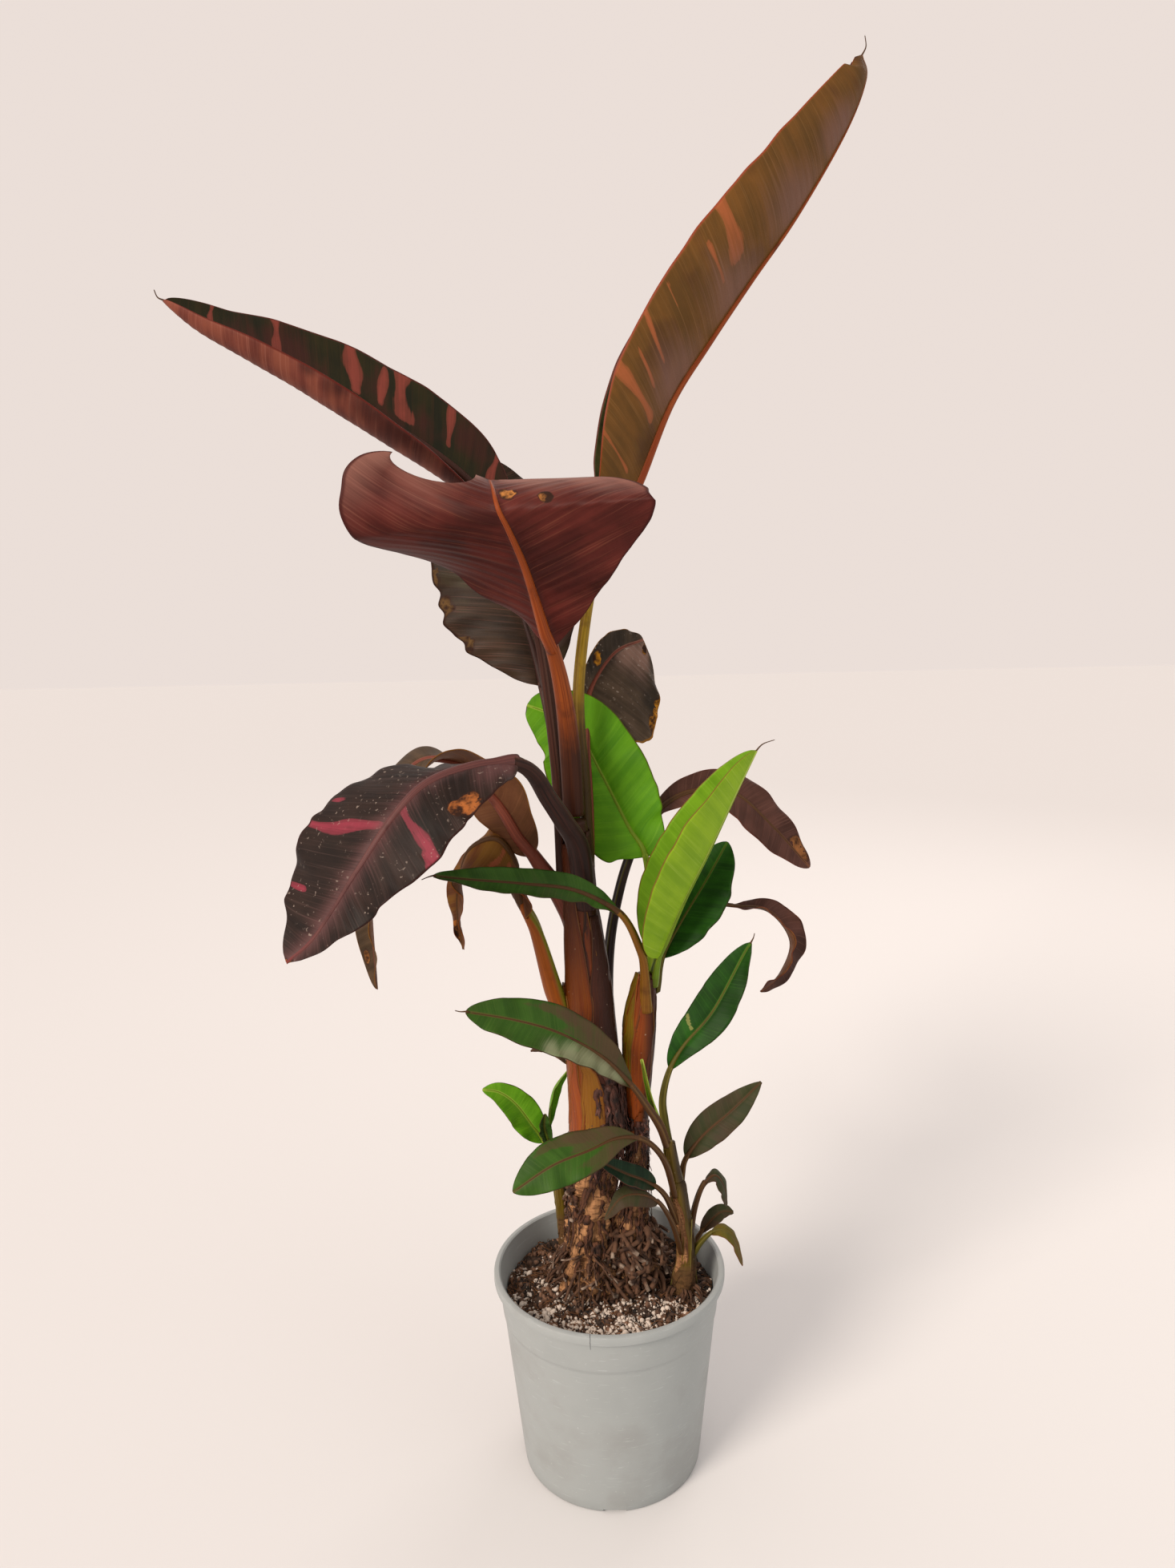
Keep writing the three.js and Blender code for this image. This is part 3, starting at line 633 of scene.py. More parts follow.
# %% Many tubes in one mesh
def many_tubes(name, lines, over, wide, thin, sides, material, node):
    """One closed tube along each row of points, wide across the way over and thin across it."""
    count, rows = lines.shape[:2]
    forward = np.gradient(lines, axis=1)
    right = over - forward * np.sum(over * forward, axis=2, keepdims=True) / np.sum(
        forward * forward, axis=2, keepdims=True)
    right /= np.linalg.norm(right, axis=2, keepdims=True)
    upward = np.cross(right, forward)
    upward /= np.linalg.norm(upward, axis=2, keepdims=True)
    angle = np.arange(sides) / sides * 2 * np.pi
    spokes = right[:, :, None] * (wide[:, :, None] * np.cos(angle))[..., None]
    spokes = spokes + upward[:, :, None] * (thin[:, :, None] * np.sin(angle))[..., None]
    rings = (lines[:, :, None] + spokes).reshape(count, -1, 3)
    points = np.concatenate([rings, lines[:, :1], lines[:, -1:]], axis=1)
    ring = np.arange(sides)
    after = (ring + 1) % sides
    faces = [(r * sides + i, r * sides + j, (r + 1) * sides + j, (r + 1) * sides + i)
             for r in range(rows - 1) for i, j in zip(ring, after)]
    last = (rows - 1) * sides
    faces += [(rows * sides, j, i) for i, j in zip(ring, after)]
    faces += [(rows * sides + 1, last + i, last + j) for i, j in zip(ring, after)]
    piece = mesh_piece(name, points.reshape(-1, 3), faces, count, material)
    length = np.repeat(np.linspace(0, 1, rows), sides)
    along = np.tile(np.concatenate([length, [0, 1]]), count)
    own = np.repeat(chance.uniform(0, 1, count), points.shape[1])
    layer = piece.data.attributes.new("lie", "FLOAT_VECTOR", "POINT")
    layer.data.foreach_set("vector", np.stack([own, along, own * 0], axis=1).ravel())
    close_seam(piece)
    bpy.ops.object.shade_smooth()
    hand_over(piece, node)


print("tube helper ready")

# %% [markdown]
# The crumbs are brown lumps of 1 to 4 mm. The perlite is paler and finer, and watering has
# floated it into drifts, mostly towards the front: of many grains dealt out over the ground,
# only those that fall in a drift stay.

# %% Crumbs and grains
CRUMBS = 1500
GRAINS_DEALT = 9000
GRAINS_KEPT = 2500

brown = Finish("soil_crumbs")
where = brown.place()
shade = brown.noise(where, 90.0, 3.0)
crumb_colour = brown.mix(brown.fade(shade, 0.35, 0.65), paint("140e0b"), paint("805f4a"))
crumb_material = brown.done(crumb_colour, 0.95, brown.bump(brown.noise(where, 600.0), 0.0008, 0.8))
places = on_ground(CRUMBS, 0, 83)
sizes = chance.uniform(1.0, 3.2, (CRUMBS, 1)) * chance.uniform(0.6, 1.2, (CRUMBS, 3))
scatter("soil_crumbs_look", lump, places, sizes, crumb_material, "soil")

white = Finish("perlite")
where = white.place()
grain_colour = white.mix(white.noise(where, 120.0), paint("a8998a"), paint("e6dace"))
grain_material = white.done(grain_colour, 0.85, white.bump(white.noise(where, 900.0), 0.0006, 0.6))
places = on_ground(GRAINS_DEALT, 26, 84)
drift = np.sin(places[:, 0] * 0.13 + 2) * np.cos(places[:, 1] * 0.17) - places[:, 1] / 55
places = places[drift + chance.normal(0, 0.6, len(places)) > 0.7][:GRAINS_KEPT]
places[:, 2] += chance.uniform(0.0, 1.6, len(places))
sizes = chance.gamma(3.0, 0.36, (len(places), 1)).clip(0.4, 2.5)
sizes = sizes * chance.uniform(0.6, 1.2, (len(places), 3))
scatter("perlite_look", lump, places, sizes, grain_material, "soil")
print("crumbs", CRUMBS, "grains", len(places))

# %% [markdown]
# A banana's stem is not wood: it is leaf bases rolled round each other, glossy and streaked
# lengthwise, bronze where they are fresh and dark brown where they age. One finish with a few
# colours does for every sheath. Noise stretched along the stem makes the fibres, the stored
# angle darkens the side away from the light, and below a given height the bark takes over.

# %% Stem finish
DUSK = "1e0e0a"
TOP_DARK = "34180e"
BARK_DARK = "2a1a12"
RING = "2a180f"
DUST = "c8b49c"


def stem_finish(name, ground, tint, dark, margin, dark_share, age_height, bark="b4845a"):
    f = Finish(name)
    side, height, depth = f.mark("lie")
    turn = f.mark("marks")[0]
    where = f.place()
    fibre = f.noise(f.at(side * 11.0, height * 0.012, depth), 1.0, 4.0, 0.6)
    fine = f.noise(f.at(side * 60.0, height * 0.03, depth + 5.0), 1.0, 3.0, 0.6)
    cloud = f.noise(where, 22.0, 4.0)
    specks = f.noise(where, 260.0, 2.0)
    colour = f.mix(f.fade(fibre, 0.32, 0.68), ground, tint)
    low = 0.78 - dark_share
    colour = f.mix(f.fade(cloud * 0.6 + fibre * 0.4, low, low + 0.2), colour, dark)
    colour = f.mix(f.fade(fine, 0.58, 0.76) * 0.3, colour, dark)
    dusk = f.fade(turn + (fibre - 0.5) * 0.6 + (cloud - 0.5) * 0.5, 0.0, 0.75)
    colour = f.mix(dusk * 0.8, colour, paint(DUSK))
    top = f.fade(height + (cloud - 0.5) * 90.0 + (fibre - 0.5) * 60.0, 350.0, 490.0)
    colour = f.mix(top * 0.72, colour, paint(TOP_DARK))
    old = f.fade((age_height - height) / 16.0 + (cloud - 0.5) * 2.6 + (fine - 0.5), 0.0, 1.0)
    husk = f.mix(f.fade(fine * 0.4 + cloud * 0.6, 0.36, 0.58), paint(BARK_DARK), paint(bark))
    rings = f.noise(f.at(side * 2.0, height * 0.4, depth), 1.0, 3.0)
    husk = f.mix(f.fade(rings, 0.5, 0.62) * 0.6, husk, paint(RING))
    colour = f.mix(old * 0.9, colour, husk)
    colour = f.mix(f.fade(specks, 0.71, 0.75) * 0.35, colour, paint(DUST))
    colour = f.mix(f.fade(abs(side), 0.8, 0.95) * 0.5, colour, dark)
    colour = f.mix(f.fade(abs(side), 0.955, 0.985) * 0.7, colour, margin)
    rough = 0.34 + old * 0.5 + (fine - 0.5) * 0.15
    bump = f.bump(fibre * 0.5 + fine * 0.5, 0.0008, 0.5)
    return f.done(colour, rough, bump, Specular_IOR_Level=0.18)


# each row: ground, tint, dark, margin, share of dark, height in mm below which bark begins
STEM_PAINTS = {
    "core": ("4a2010", "60301a", "140b09", "2e180e", 0.2, 288),
    "orange": ("722e08", "88420e", "34120a", "80561f", 0.1, 290),
    "rust": ("642a0a", "7c4010", "2c100a", "6e4424", 0.16, 286),
    "maroon": ("34160b", "522410", "140907", "4a2e1c", 0.2, 300),
    "olive": ("6a500c", "846c14", "5a260c", "8a421c", 0.12, 284),
    "tan": ("6e400e", "845a1a", "5a260c", "7a461c", 0.12, 286),
    "young": ("4e3c12", "6c5a1c", "32180e", "6c6430", 0.2, 184, "60442a"),
}
stem_materials = {}
for key, (ground, tint, dark, margin, *rest) in STEM_PAINTS.items():
    colours = [paint(code) for code in (ground, tint, dark, margin)]
    stem_materials[key] = stem_finish("sheath_" + key, *colours, *rest)
print("stem finishes:", ", ".join(stem_materials))

# %% [markdown]
# Each stem has a plain core, and over it lie sheaths: sheets that wrap part of the way round,
# end in a thin margin and narrow upwards to a stalk. The core alone would look turned on a
# lathe; it is the overlapping margins that make it a banana. Below the sheaths is the corm,
# where old leaf bases have rotted away and knobs show, so the core swells there. A table gives
# each stem's middle line and radius, from the soil up.

# %% Stem lines
# each point: x, y, z, radius
STEMS = {
    "main_stem": [(-14, 0, 147, 27), (-14, 0, 168, 24), (-15, 0, 190, 20), (-14, 0, 224, 19),
                  (-10, 0, 267, 21.5), (-7, 0, 308, 22.5), (-10, 0, 363, 20.5),
                  (-12, 0, 416, 18), (-16, 0, 469, 14), (-18, 0, 520, 11.5), (-20, -2, 545, 10.5)],
    "second_stem": [(17, 5, 147, 25), (18, 5, 172, 23), (19, 5, 200, 18), (21, 5, 228, 12),
                    (24, 4, 264, 9.5), (25, 4, 296, 9), (26, 3, 330, 11),
                    (27.5, 3, 365, 13), (29, 2, 388, 12), (31, 1, 405, 9.5), (33, 0, 421, 7)],
    "front_sucker_stem": [(60, -8, 148, 12), (61, -8, 162, 10), (63, -7, 176, 8),
                          (62, -9, 199, 7.2), (57, -12, 237, 6.5), (52, -16, 268, 5.5),
                          (49, -19, 288, 5)],
    "back_sucker_stem": [(-36, 60, 148, 8), (-37, 60, 165, 6.5), (-39, 58, 190, 6),
                         (-41, 56, 214, 5), (-42, 56, 230, 4.5)],
}


stem_tables = {}
for stem, line in STEMS.items():
    fine_line = Route(line).fine
    fine_line = fine_line[np.argsort(fine_line[:, 2])]
    stem_tables[stem] = [(fine_line[:, 2], fine_line[:, k]) for k in (0, 1, 3)]


def stem_at(stem, height):
    """The middle's x and y and the radius of a stem at a height."""
    return [np.interp(height, *table) for table in stem_tables[stem]]


def round_stem(x, y, size, angle, height):
    return np.stack([x + size * np.cos(angle), y + size * np.sin(angle), height], axis=-1)


print("stem radius at 300 mm:", {stem: round(float(stem_at(stem, 300)[2]), 1) for stem in STEMS})


# %% Stem core
def stem_core(stem, inset, lumps, foot):
    """A round core, INSET mm thinner than its table says, with knobs below the height FOOT."""
    low, high = STEMS[stem][0][2], STEMS[stem][-1][2]

    def place(u, v):
        height = low + (high - low) * v
        x, y, radius = stem_at(stem, height)
        angle = u * 2 * np.pi
        knob = np.sin(3 * angle + height * 0.11) * np.sin(height * 0.21 + 2 * np.cos(2 * angle))
        knob += 0.6 * np.sin(7 * angle + height * 0.37) * np.sin(height * 0.5 + angle)
        knob += 0.35 * np.sin(17 * angle + np.sin(height * 0.3) * 3) * np.sin(height * 0.9)
        swell = lumps * np.clip((foot - height) / 30, 0, 1) * knob
        size = (radius - inset + swell) * closed_ends(v)
        lie = np.stack([np.sin(angle) * 0.8, height, angle * 2], axis=1)
        marks = np.stack([np.cos(angle), -np.sin(angle), v], axis=1)
        return round_stem(x, y, size, angle, height), lie, marks

    piece = grid_piece(stem + "_core", 96, max(40, int((high - low) / 2)), place)
    close_seam(piece)
    return piece


print("core helper ready")


# %% Sheaths
SHEATH_THICKNESS = 1.1


def sheath(stem, middle, half, low, high, out, lean, seed):
    """A sheet round a stem: its middle and half width in degrees, its foot and top in mm."""
    bend = noise_line(5.0, 9, seed)
    foot = noise_line(9.0, 8, seed + 50)

    def place(u, v):
        side = 2 * u - 1
        base = low + foot(u)
        height = base + (high - base) * v
        x, y, radius = stem_at(stem, height)
        narrow = 1 - 0.6 * np.clip((v - 0.5) / 0.5, 0, 1) ** 1.5
        angle = np.radians(middle + lean * v + bend(v) + side * half * narrow)
        raised = 0.7 * np.abs(side) ** 8 * (0.3 + v)
        size = radius + out * (0.3 + 0.7 * v) + raised + 0.25 * np.sin(side * 21 + bend(v))
        lie = np.stack([side, height, np.full_like(u, seed)], axis=1)
        marks = np.stack([np.cos(angle), -np.sin(angle), v], axis=1)
        return round_stem(x, y, size, angle, height), lie, marks

    wide = max(16, int(half / 4))
    piece = grid_piece(stem + "_sheath", wide, max(20, int((high - low) / 4)), place)
    thicken(piece, SHEATH_THICKNESS, 0)
    return piece


def dress_stem(stem, core_finish, inset, lumps, foot, sheaths):
    pieces = [stem_core(stem, inset, lumps, foot)]
    pieces[0].data.materials.append(stem_materials[core_finish])
    for seed, (*shape, colour) in enumerate(sheaths, 3):
        wrap = sheath(stem, *shape, seed)
        wrap.data.materials.append(stem_materials[colour])
        pieces.append(wrap)
    whole = stand_for(join(pieces), stem)
    print(stem, "faces:", len(whole.data.polygons))


# each sheath: middle, half width, foot, top, how far out, lean, colour
dress_stem("main_stem", "core", 1.6, 2.6, 290, [
    (90, 110, 286, 500, -0.5, 0, "maroon"),
    (345, 92, 300, 535, -0.2, 6, "maroon"),
    (228, 78, 284, 525, 0.0, 4, "orange"),
    (236, 40, 300, 500, 0.9, -4, "rust"),
    (203, 42, 292, 405, 1.2, -16, "orange"),
    (196, 22, 345, 412, 1.8, -10, "tan"),
    (262, 24, 286, 352, 1.2, -6, "tan"),
    (300, 30, 330, 470, 1.0, 10, "maroon"),
])
dress_stem("second_stem", "core", 1.0, 2.2, 285, [
    (60, 125, 285, 412, -0.2, 10, "maroon"),
    (325, 100, 282, 416, -0.1, 6, "rust"),
    (250, 66, 300, 419, 0.5, 16, "orange"),
    (200, 40, 326, 421, 0.9, 10, "olive"),
])
dress_stem("front_sucker_stem", "young", 0.7, 0.5, 168, [
    (270, 120, 160, 250, 0.1, 30, "young"),
    (90, 100, 160, 285, 0.1, 30, "young"),
    (215, 60, 172, 240, 0.5, 10, "rust"),
    (350, 60, 166, 215, 0.6, 10, "young"),
])
dress_stem("back_sucker_stem", "young", 0.5, 0.4, 168, [
    (250, 110, 160, 222, 0.1, 20, "young"),
    (80, 100, 165, 229, 0.1, 20, "young"),
])

# %% [markdown]
# What is left of the oldest sheaths hangs round the corm as dark ragged strips, and short
# roots break out between them. Hair particles could do it, but would not travel as a mesh.
# So every strip is a flat tube that starts at a chance place on a stem, follows its surface
# and frays outwards. The finish gives each strip its own shade, with paler dry tips.


# %% Fibre finish
def fibre_finish(name, dark, middle, pale, gloss):
    f = Finish(name)
    own, along, _ = f.mark("lie")
    where = f.place()
    streak = f.noise(f.at(own * 40.0, along * 3.0, 0.0), 1.0, 3.0)
    cloud = f.noise(where, 150.0, 4.0)
    colour = f.mix(f.fade(streak * 0.5 + cloud * 0.5, 0.36, 0.6), dark, middle)
    tip = f.fade(along + (cloud - 0.5) * 0.8, 0.75, 1.05) * f.fade(own, 0.45, 0.75)
    colour = f.mix(tip * 0.7, colour, pale)
    return f.done(colour, gloss, f.bump(cloud, 0.0006, 0.6), Specular_IOR_Level=0.3)


FIBRES = {
    "old_husk": ("1c110d", "573522", "8a6244", 0.8),
    "torn_sheath": ("170d0c", "4a2a20", "8a5c50", 0.55),
    "root_stub": ("2a1a12", "5e4230", "a49484", 0.85),
    "soil_fibre": ("3a2416", "6e4a2e", "94704c", 0.9),
}
fibre_materials = {name: fibre_finish(name, *map(paint, colours), gloss)
                   for name, (*colours, gloss) in FIBRES.items()}
print("fibre finishes:", ", ".join(fibre_materials))


# %% Torn strips
STRIP_THICKNESS = 0.28


def strips(name, stem, count, turn, span, height, length, width, off, finish):
    """Strips down a stem: turn and span in degrees, height and the rest as least and most."""
    rows = 9
    s = np.linspace(0, 1, rows)[None, :]
    start = chance.uniform(*height, (count, 1))
    angle = np.radians(turn + span * chance.uniform(-1, 1, (count, 1)))
    wander = np.cumsum(chance.normal(0, 0.055, (count, rows)), axis=1)
    reach = chance.uniform(*length, (count, 1))
    z = np.maximum(start - reach * s, SOIL_LEVEL - 1)
    x, y, radius = stem_at(stem, z)
    fray = chance.uniform(*off, (count, 1)) * s ** 1.7
    size = radius + 0.5 + fray + 0.6 * np.sin(s * 9 + angle * 5)
    around = angle + wander
    lines = round_stem(x, y, size, around, z)
    tilt = chance.normal(0, 0.25, (count, rows))
    over = np.stack([-np.sin(around), np.cos(around), tilt], axis=2)
    broad = chance.uniform(*width, (count, 1)) * (1 - 0.75 * s ** 2) / 2
    broad = broad * chance.uniform(0.75, 1.1, (count, rows))
    flat = np.full((count, rows), STRIP_THICKNESS)
    many_tubes(name, lines, over, broad, flat, 4, fibre_materials[finish], stem)


# each row: piece, stem, how many, turn, span, height, length, width, how far out, finish
for row in [
    ("corm_husk", "main_stem", 120, 0, 180, (200, 290), (12, 34), (2, 5.5), (0, 2.5), "old_husk"),
    ("corm_husk_low", "main_stem", 60, 20, 120, (160, 205), (10, 26), (2, 5), (0, 4), "old_husk"),
    ("torn_collar", "main_stem", 46, 330, 75, (280, 306), (14, 34), (3, 7), (0, 4), "torn_sheath"),
    ("torn_front", "main_stem", 30, 312, 34, (300, 352), (22, 52), (3, 7), (0.5, 3.5),
     "torn_sheath"),
    ("side_husk", "second_stem", 120, 0, 180, (195, 290), (12, 34), (2, 5), (0, 3), "old_husk"),
    ("side_husk_low", "second_stem", 50, 60, 180, (158, 200), (10, 26), (2, 5), (0, 5), "old_husk"),
    ("side_collar", "second_stem", 26, 270, 120, (280, 300), (10, 26), (3, 6), (0, 4),
     "torn_sheath"),
]:
    strips(*row)
    print(row[0], "strips:", row[2])


# %% Roots of the stems
def root_stubs(name, stem, count, turn, span, height, length, girth, slot):
    """Short thick roots that stand out from a stem's foot and sag to the soil."""
    rows = 7
    s = np.linspace(0, 1, rows)[None, :]
    z0 = chance.uniform(*height, (count, 1))
    angle = np.radians(turn + span * chance.uniform(-1, 1, (count, 1)))
    reach = chance.uniform(*length, (count, 1))
    x, y, radius = stem_at(stem, z0)
    sag = chance.uniform(0.2, 1.3, (count, 1))
    size = radius - 1.5 + reach * s
    around = angle + chance.normal(0, 0.35, (count, 1)) * s ** 1.5
    z = np.maximum(z0 - reach * sag * s ** 1.6, SOIL_LEVEL - 2)
    lines = round_stem(x, y, size, around, z)
    lines = lines + np.cumsum(chance.normal(0, 0.35, (count, rows, 3)), axis=1)
    thick = chance.uniform(*girth, (count, 1)) * (1 - 0.25 * s)
    thick = thick * chance.uniform(0.85, 1.15, (count, rows))
    over = np.broadcast_to([0.1, 0.2, 1.0], lines.shape)
    many_tubes(name, lines, over, thick, thick, 6, fibre_materials["root_stub"], stem)


# each row: piece, stem, how many, turn, span, height, length, girth, slot
for row in [
    ("corm_roots", "main_stem", 90, 200, 110, (152, 190), (6, 20), (0.6, 1.6), "sheath"),
    ("corm_knots", "main_stem", 26, 195, 40, (218, 258), (2, 6), (1.2, 2.6), "sheath"),
    ("side_roots", "second_stem", 170, 290, 100, (153, 205), (4, 15), (1.2, 2.8), "sheath"),
    ("sucker_roots", "front_sucker_stem", 30, 230, 120, (150, 157), (8, 20), (0.7, 1.6),
     "young_stem"),
]:
    root_stubs(*row)
    print(row[0], "roots:", row[2])

# %% [markdown]
# Fine roots also lie loose on the potting mix. Each is a thread that starts at a chance place
# and turns a little at every step, like a walk, and is pulled back where it meets the pot.

# %% Fibres on the soil
THREADS = 520
THREAD_ROWS = 7
THREAD_LIMIT = 84

place = on_ground(THREADS, 24, 82)
heading = chance.uniform(0, 2 * np.pi, (THREADS, 1))
heading = heading + np.cumsum(chance.normal(0, 0.35, (THREADS, THREAD_ROWS)), axis=1)
step = chance.uniform(1.0, 3.4, (THREADS, 1))
x = place[:, :1] + np.cumsum(step * np.cos(heading), axis=1)
y = place[:, 1:2] + np.cumsum(step * np.sin(heading), axis=1)
inward = np.minimum(1, THREAD_LIMIT / np.hypot(x, y))
x, y = x * inward, y * inward
arch = chance.uniform(0, 2.6, (THREADS, 1)) * np.sin(np.linspace(0, 3, THREAD_ROWS))
lines = np.stack([x, y, ground_height(x, y) + 1.2 + arch], axis=2)
girth = chance.uniform(0.2, 0.5, (THREADS, 1)) * np.ones((1, THREAD_ROWS))
over = np.broadcast_to([0.05, 0.1, 1.0], lines.shape)
many_tubes("soil_fibres", lines, over, girth, girth, 3, fibre_materials["soil_fibre"],
           "soil")
print("soil fibres:", THREADS)

# %% [markdown]
# A banana blade is a thin sheet with a deep groove over the midrib and many parallel side
# veins that leave it at a steep angle. Its two faces differ in colour, so the sheet gets a real
# thickness with one material above and another below. Marks that have a place, such as a
# crimson streak or a scorched spot, are dealt out to the points and read back by the material,
# where noise frays their rims. A painted picture could show more, but would tie the leaf to an
# image file.


# %% Leaf finish
SLANT = 0.42
DUST_PALE = "a8988c"
CHARRED = "2c1a12"
DRIED = "2c1810"


def leaf_finish(name, ground, tint, vein, streak, rib, margin, scorch="7a4a26", gloss=0.42,
                veins=0.5, wash=None, shine=None, washed=0.5, dust=0.0):
    f = Finish(name)
    side, along, off = f.mark("lie")
    streaks, age, painted_light = f.mark("marks")
    where = f.place()
    lane = along - off * SLANT
    halves = f.fade(side, -0.01, 0.01) * 37.0
    fine = f.noise(f.at(off * 0.012, lane * 0.75, halves), 1.0, 3.0, 0.6)
    broad = f.noise(f.at(off * 0.01, lane * 0.09, halves + 9.0), 1.0, 3.0, 0.6)
    cloud = f.noise(where, 38.0, 4.0)
    grain = f.noise(where, 150.0, 3.0)
    colour = f.mix(f.fade(broad * 0.6 + cloud * 0.4, 0.36, 0.64), ground, tint)
    if wash:
        drift = f.fade(f.noise(where, 14.0, 3.0) + (broad - 0.5) * 0.4, washed, washed + 0.18)
        colour = f.mix(drift * 0.75, colour, paint(wash))
    colour = f.mix(f.fade(fine, 0.52, 0.74) * veins, colour, vein)
    edge = streaks * (1.0 + (broad - 0.5) * 1.4 + (fine - 0.5) * 1.0 + (cloud - 0.5) * 1.6)
    colour = f.mix(f.fade(edge, 0.36, 0.62) * 0.62, colour, streak)
    colour = f.mix(f.fade(edge, 0.75, 1.15) * 0.75, colour, streak)
    # painted light: a pale colour paints a highlight or sheen, a dark one (coral_under) paints a
    # shadow; without a colour of its own the vein colour is used
    painted_light_mask = f.fade(painted_light + (fine - 0.5) * 0.5 + (broad - 0.5) * 0.6, 0.2, 1.1) * 0.75
    colour = f.mix(painted_light_mask, colour, paint(shine) if shine else vein)
    if dust:
        specks = f.fade(f.noise(where, 330.0, 2.0), 0.64, 0.7) * f.fade(cloud, 0.4, 0.6)
        colour = f.mix(specks * dust, colour, paint(DUST_PALE))
    rot = age * (1.0 + (cloud - 0.5) * 3.6 + (grain - 0.5) * 2.0)
    dead = f.fade(rot, 0.5, 0.66)
    crisp = f.mix(f.fade(grain * 0.5 + cloud * 0.5, 0.42, 0.58), paint(scorch), paint(CHARRED))
    colour = f.mix(f.fade(rot, 0.34, 0.5) * 0.7, colour, paint(DRIED))
    colour = f.mix(dead, colour, crisp)
    colour = f.mix(f.fade(abs(side), 0.965, 0.99) * 0.9, colour, margin)
    colour = f.mix((1.0 - f.fade(off, 0.7, 1.5)) * 0.85, colour, rib)
    rough = gloss + cloud * 0.16 + dead * 0.3
    bump = f.bump(fine + broad * 0.6, 0.0005, 0.4)
    return f.done(colour, rough, bump, Specular_IOR_Level=0.12)


print("leaf finish ready")

# %% [markdown]
# Stalks and midribs are smooth and fibrous. On the real plant a stalk is often dark at its
# foot and warm higher up, and some are olive inside their channel and orange outside, so the
# finish can take a colour for the foot and one for the flank that looks up.


# %% Stalk finish
def stalk_finish(name, ground, tint, edge, dark="2a1512", base=None, reach=60.0, flank=None):
    f = Finish(name)
    side, along, off = f.mark("lie")
    above = f.mark("marks")[0]
    where = f.place()
    fibre = f.noise(f.at(side * 12.0, along * 0.015, 3.0), 1.0, 4.0)
    cloud = f.noise(where, 45.0, 4.0)
    colour = f.mix(f.fade(fibre, 0.35, 0.65), ground, tint)
    colour = f.mix(f.fade(cloud, 0.55, 0.75) * 0.6, colour, paint(dark))
    colour = f.mix(f.fade(off, 0.5, 0.9) * 0.7, colour, edge)
    if flank:
        inner = f.fade(above + (fibre - 0.5) * 0.5, 0.1, 0.5)
        colour = f.mix(inner * 0.85, colour, paint(flank))
    if base:
        foot = 1.0 - f.fade(along / reach + (cloud - 0.5) * 0.8 + (fibre - 0.5) * 0.4, 0.6, 1.4)
        colour = f.mix(foot * 0.88, colour, paint(base))
    bump = f.bump(fibre, 0.0005, 0.4)
    return f.done(colour, 0.38 + cloud * 0.15, bump, Specular_IOR_Level=0.16)


print("stalk finish ready")
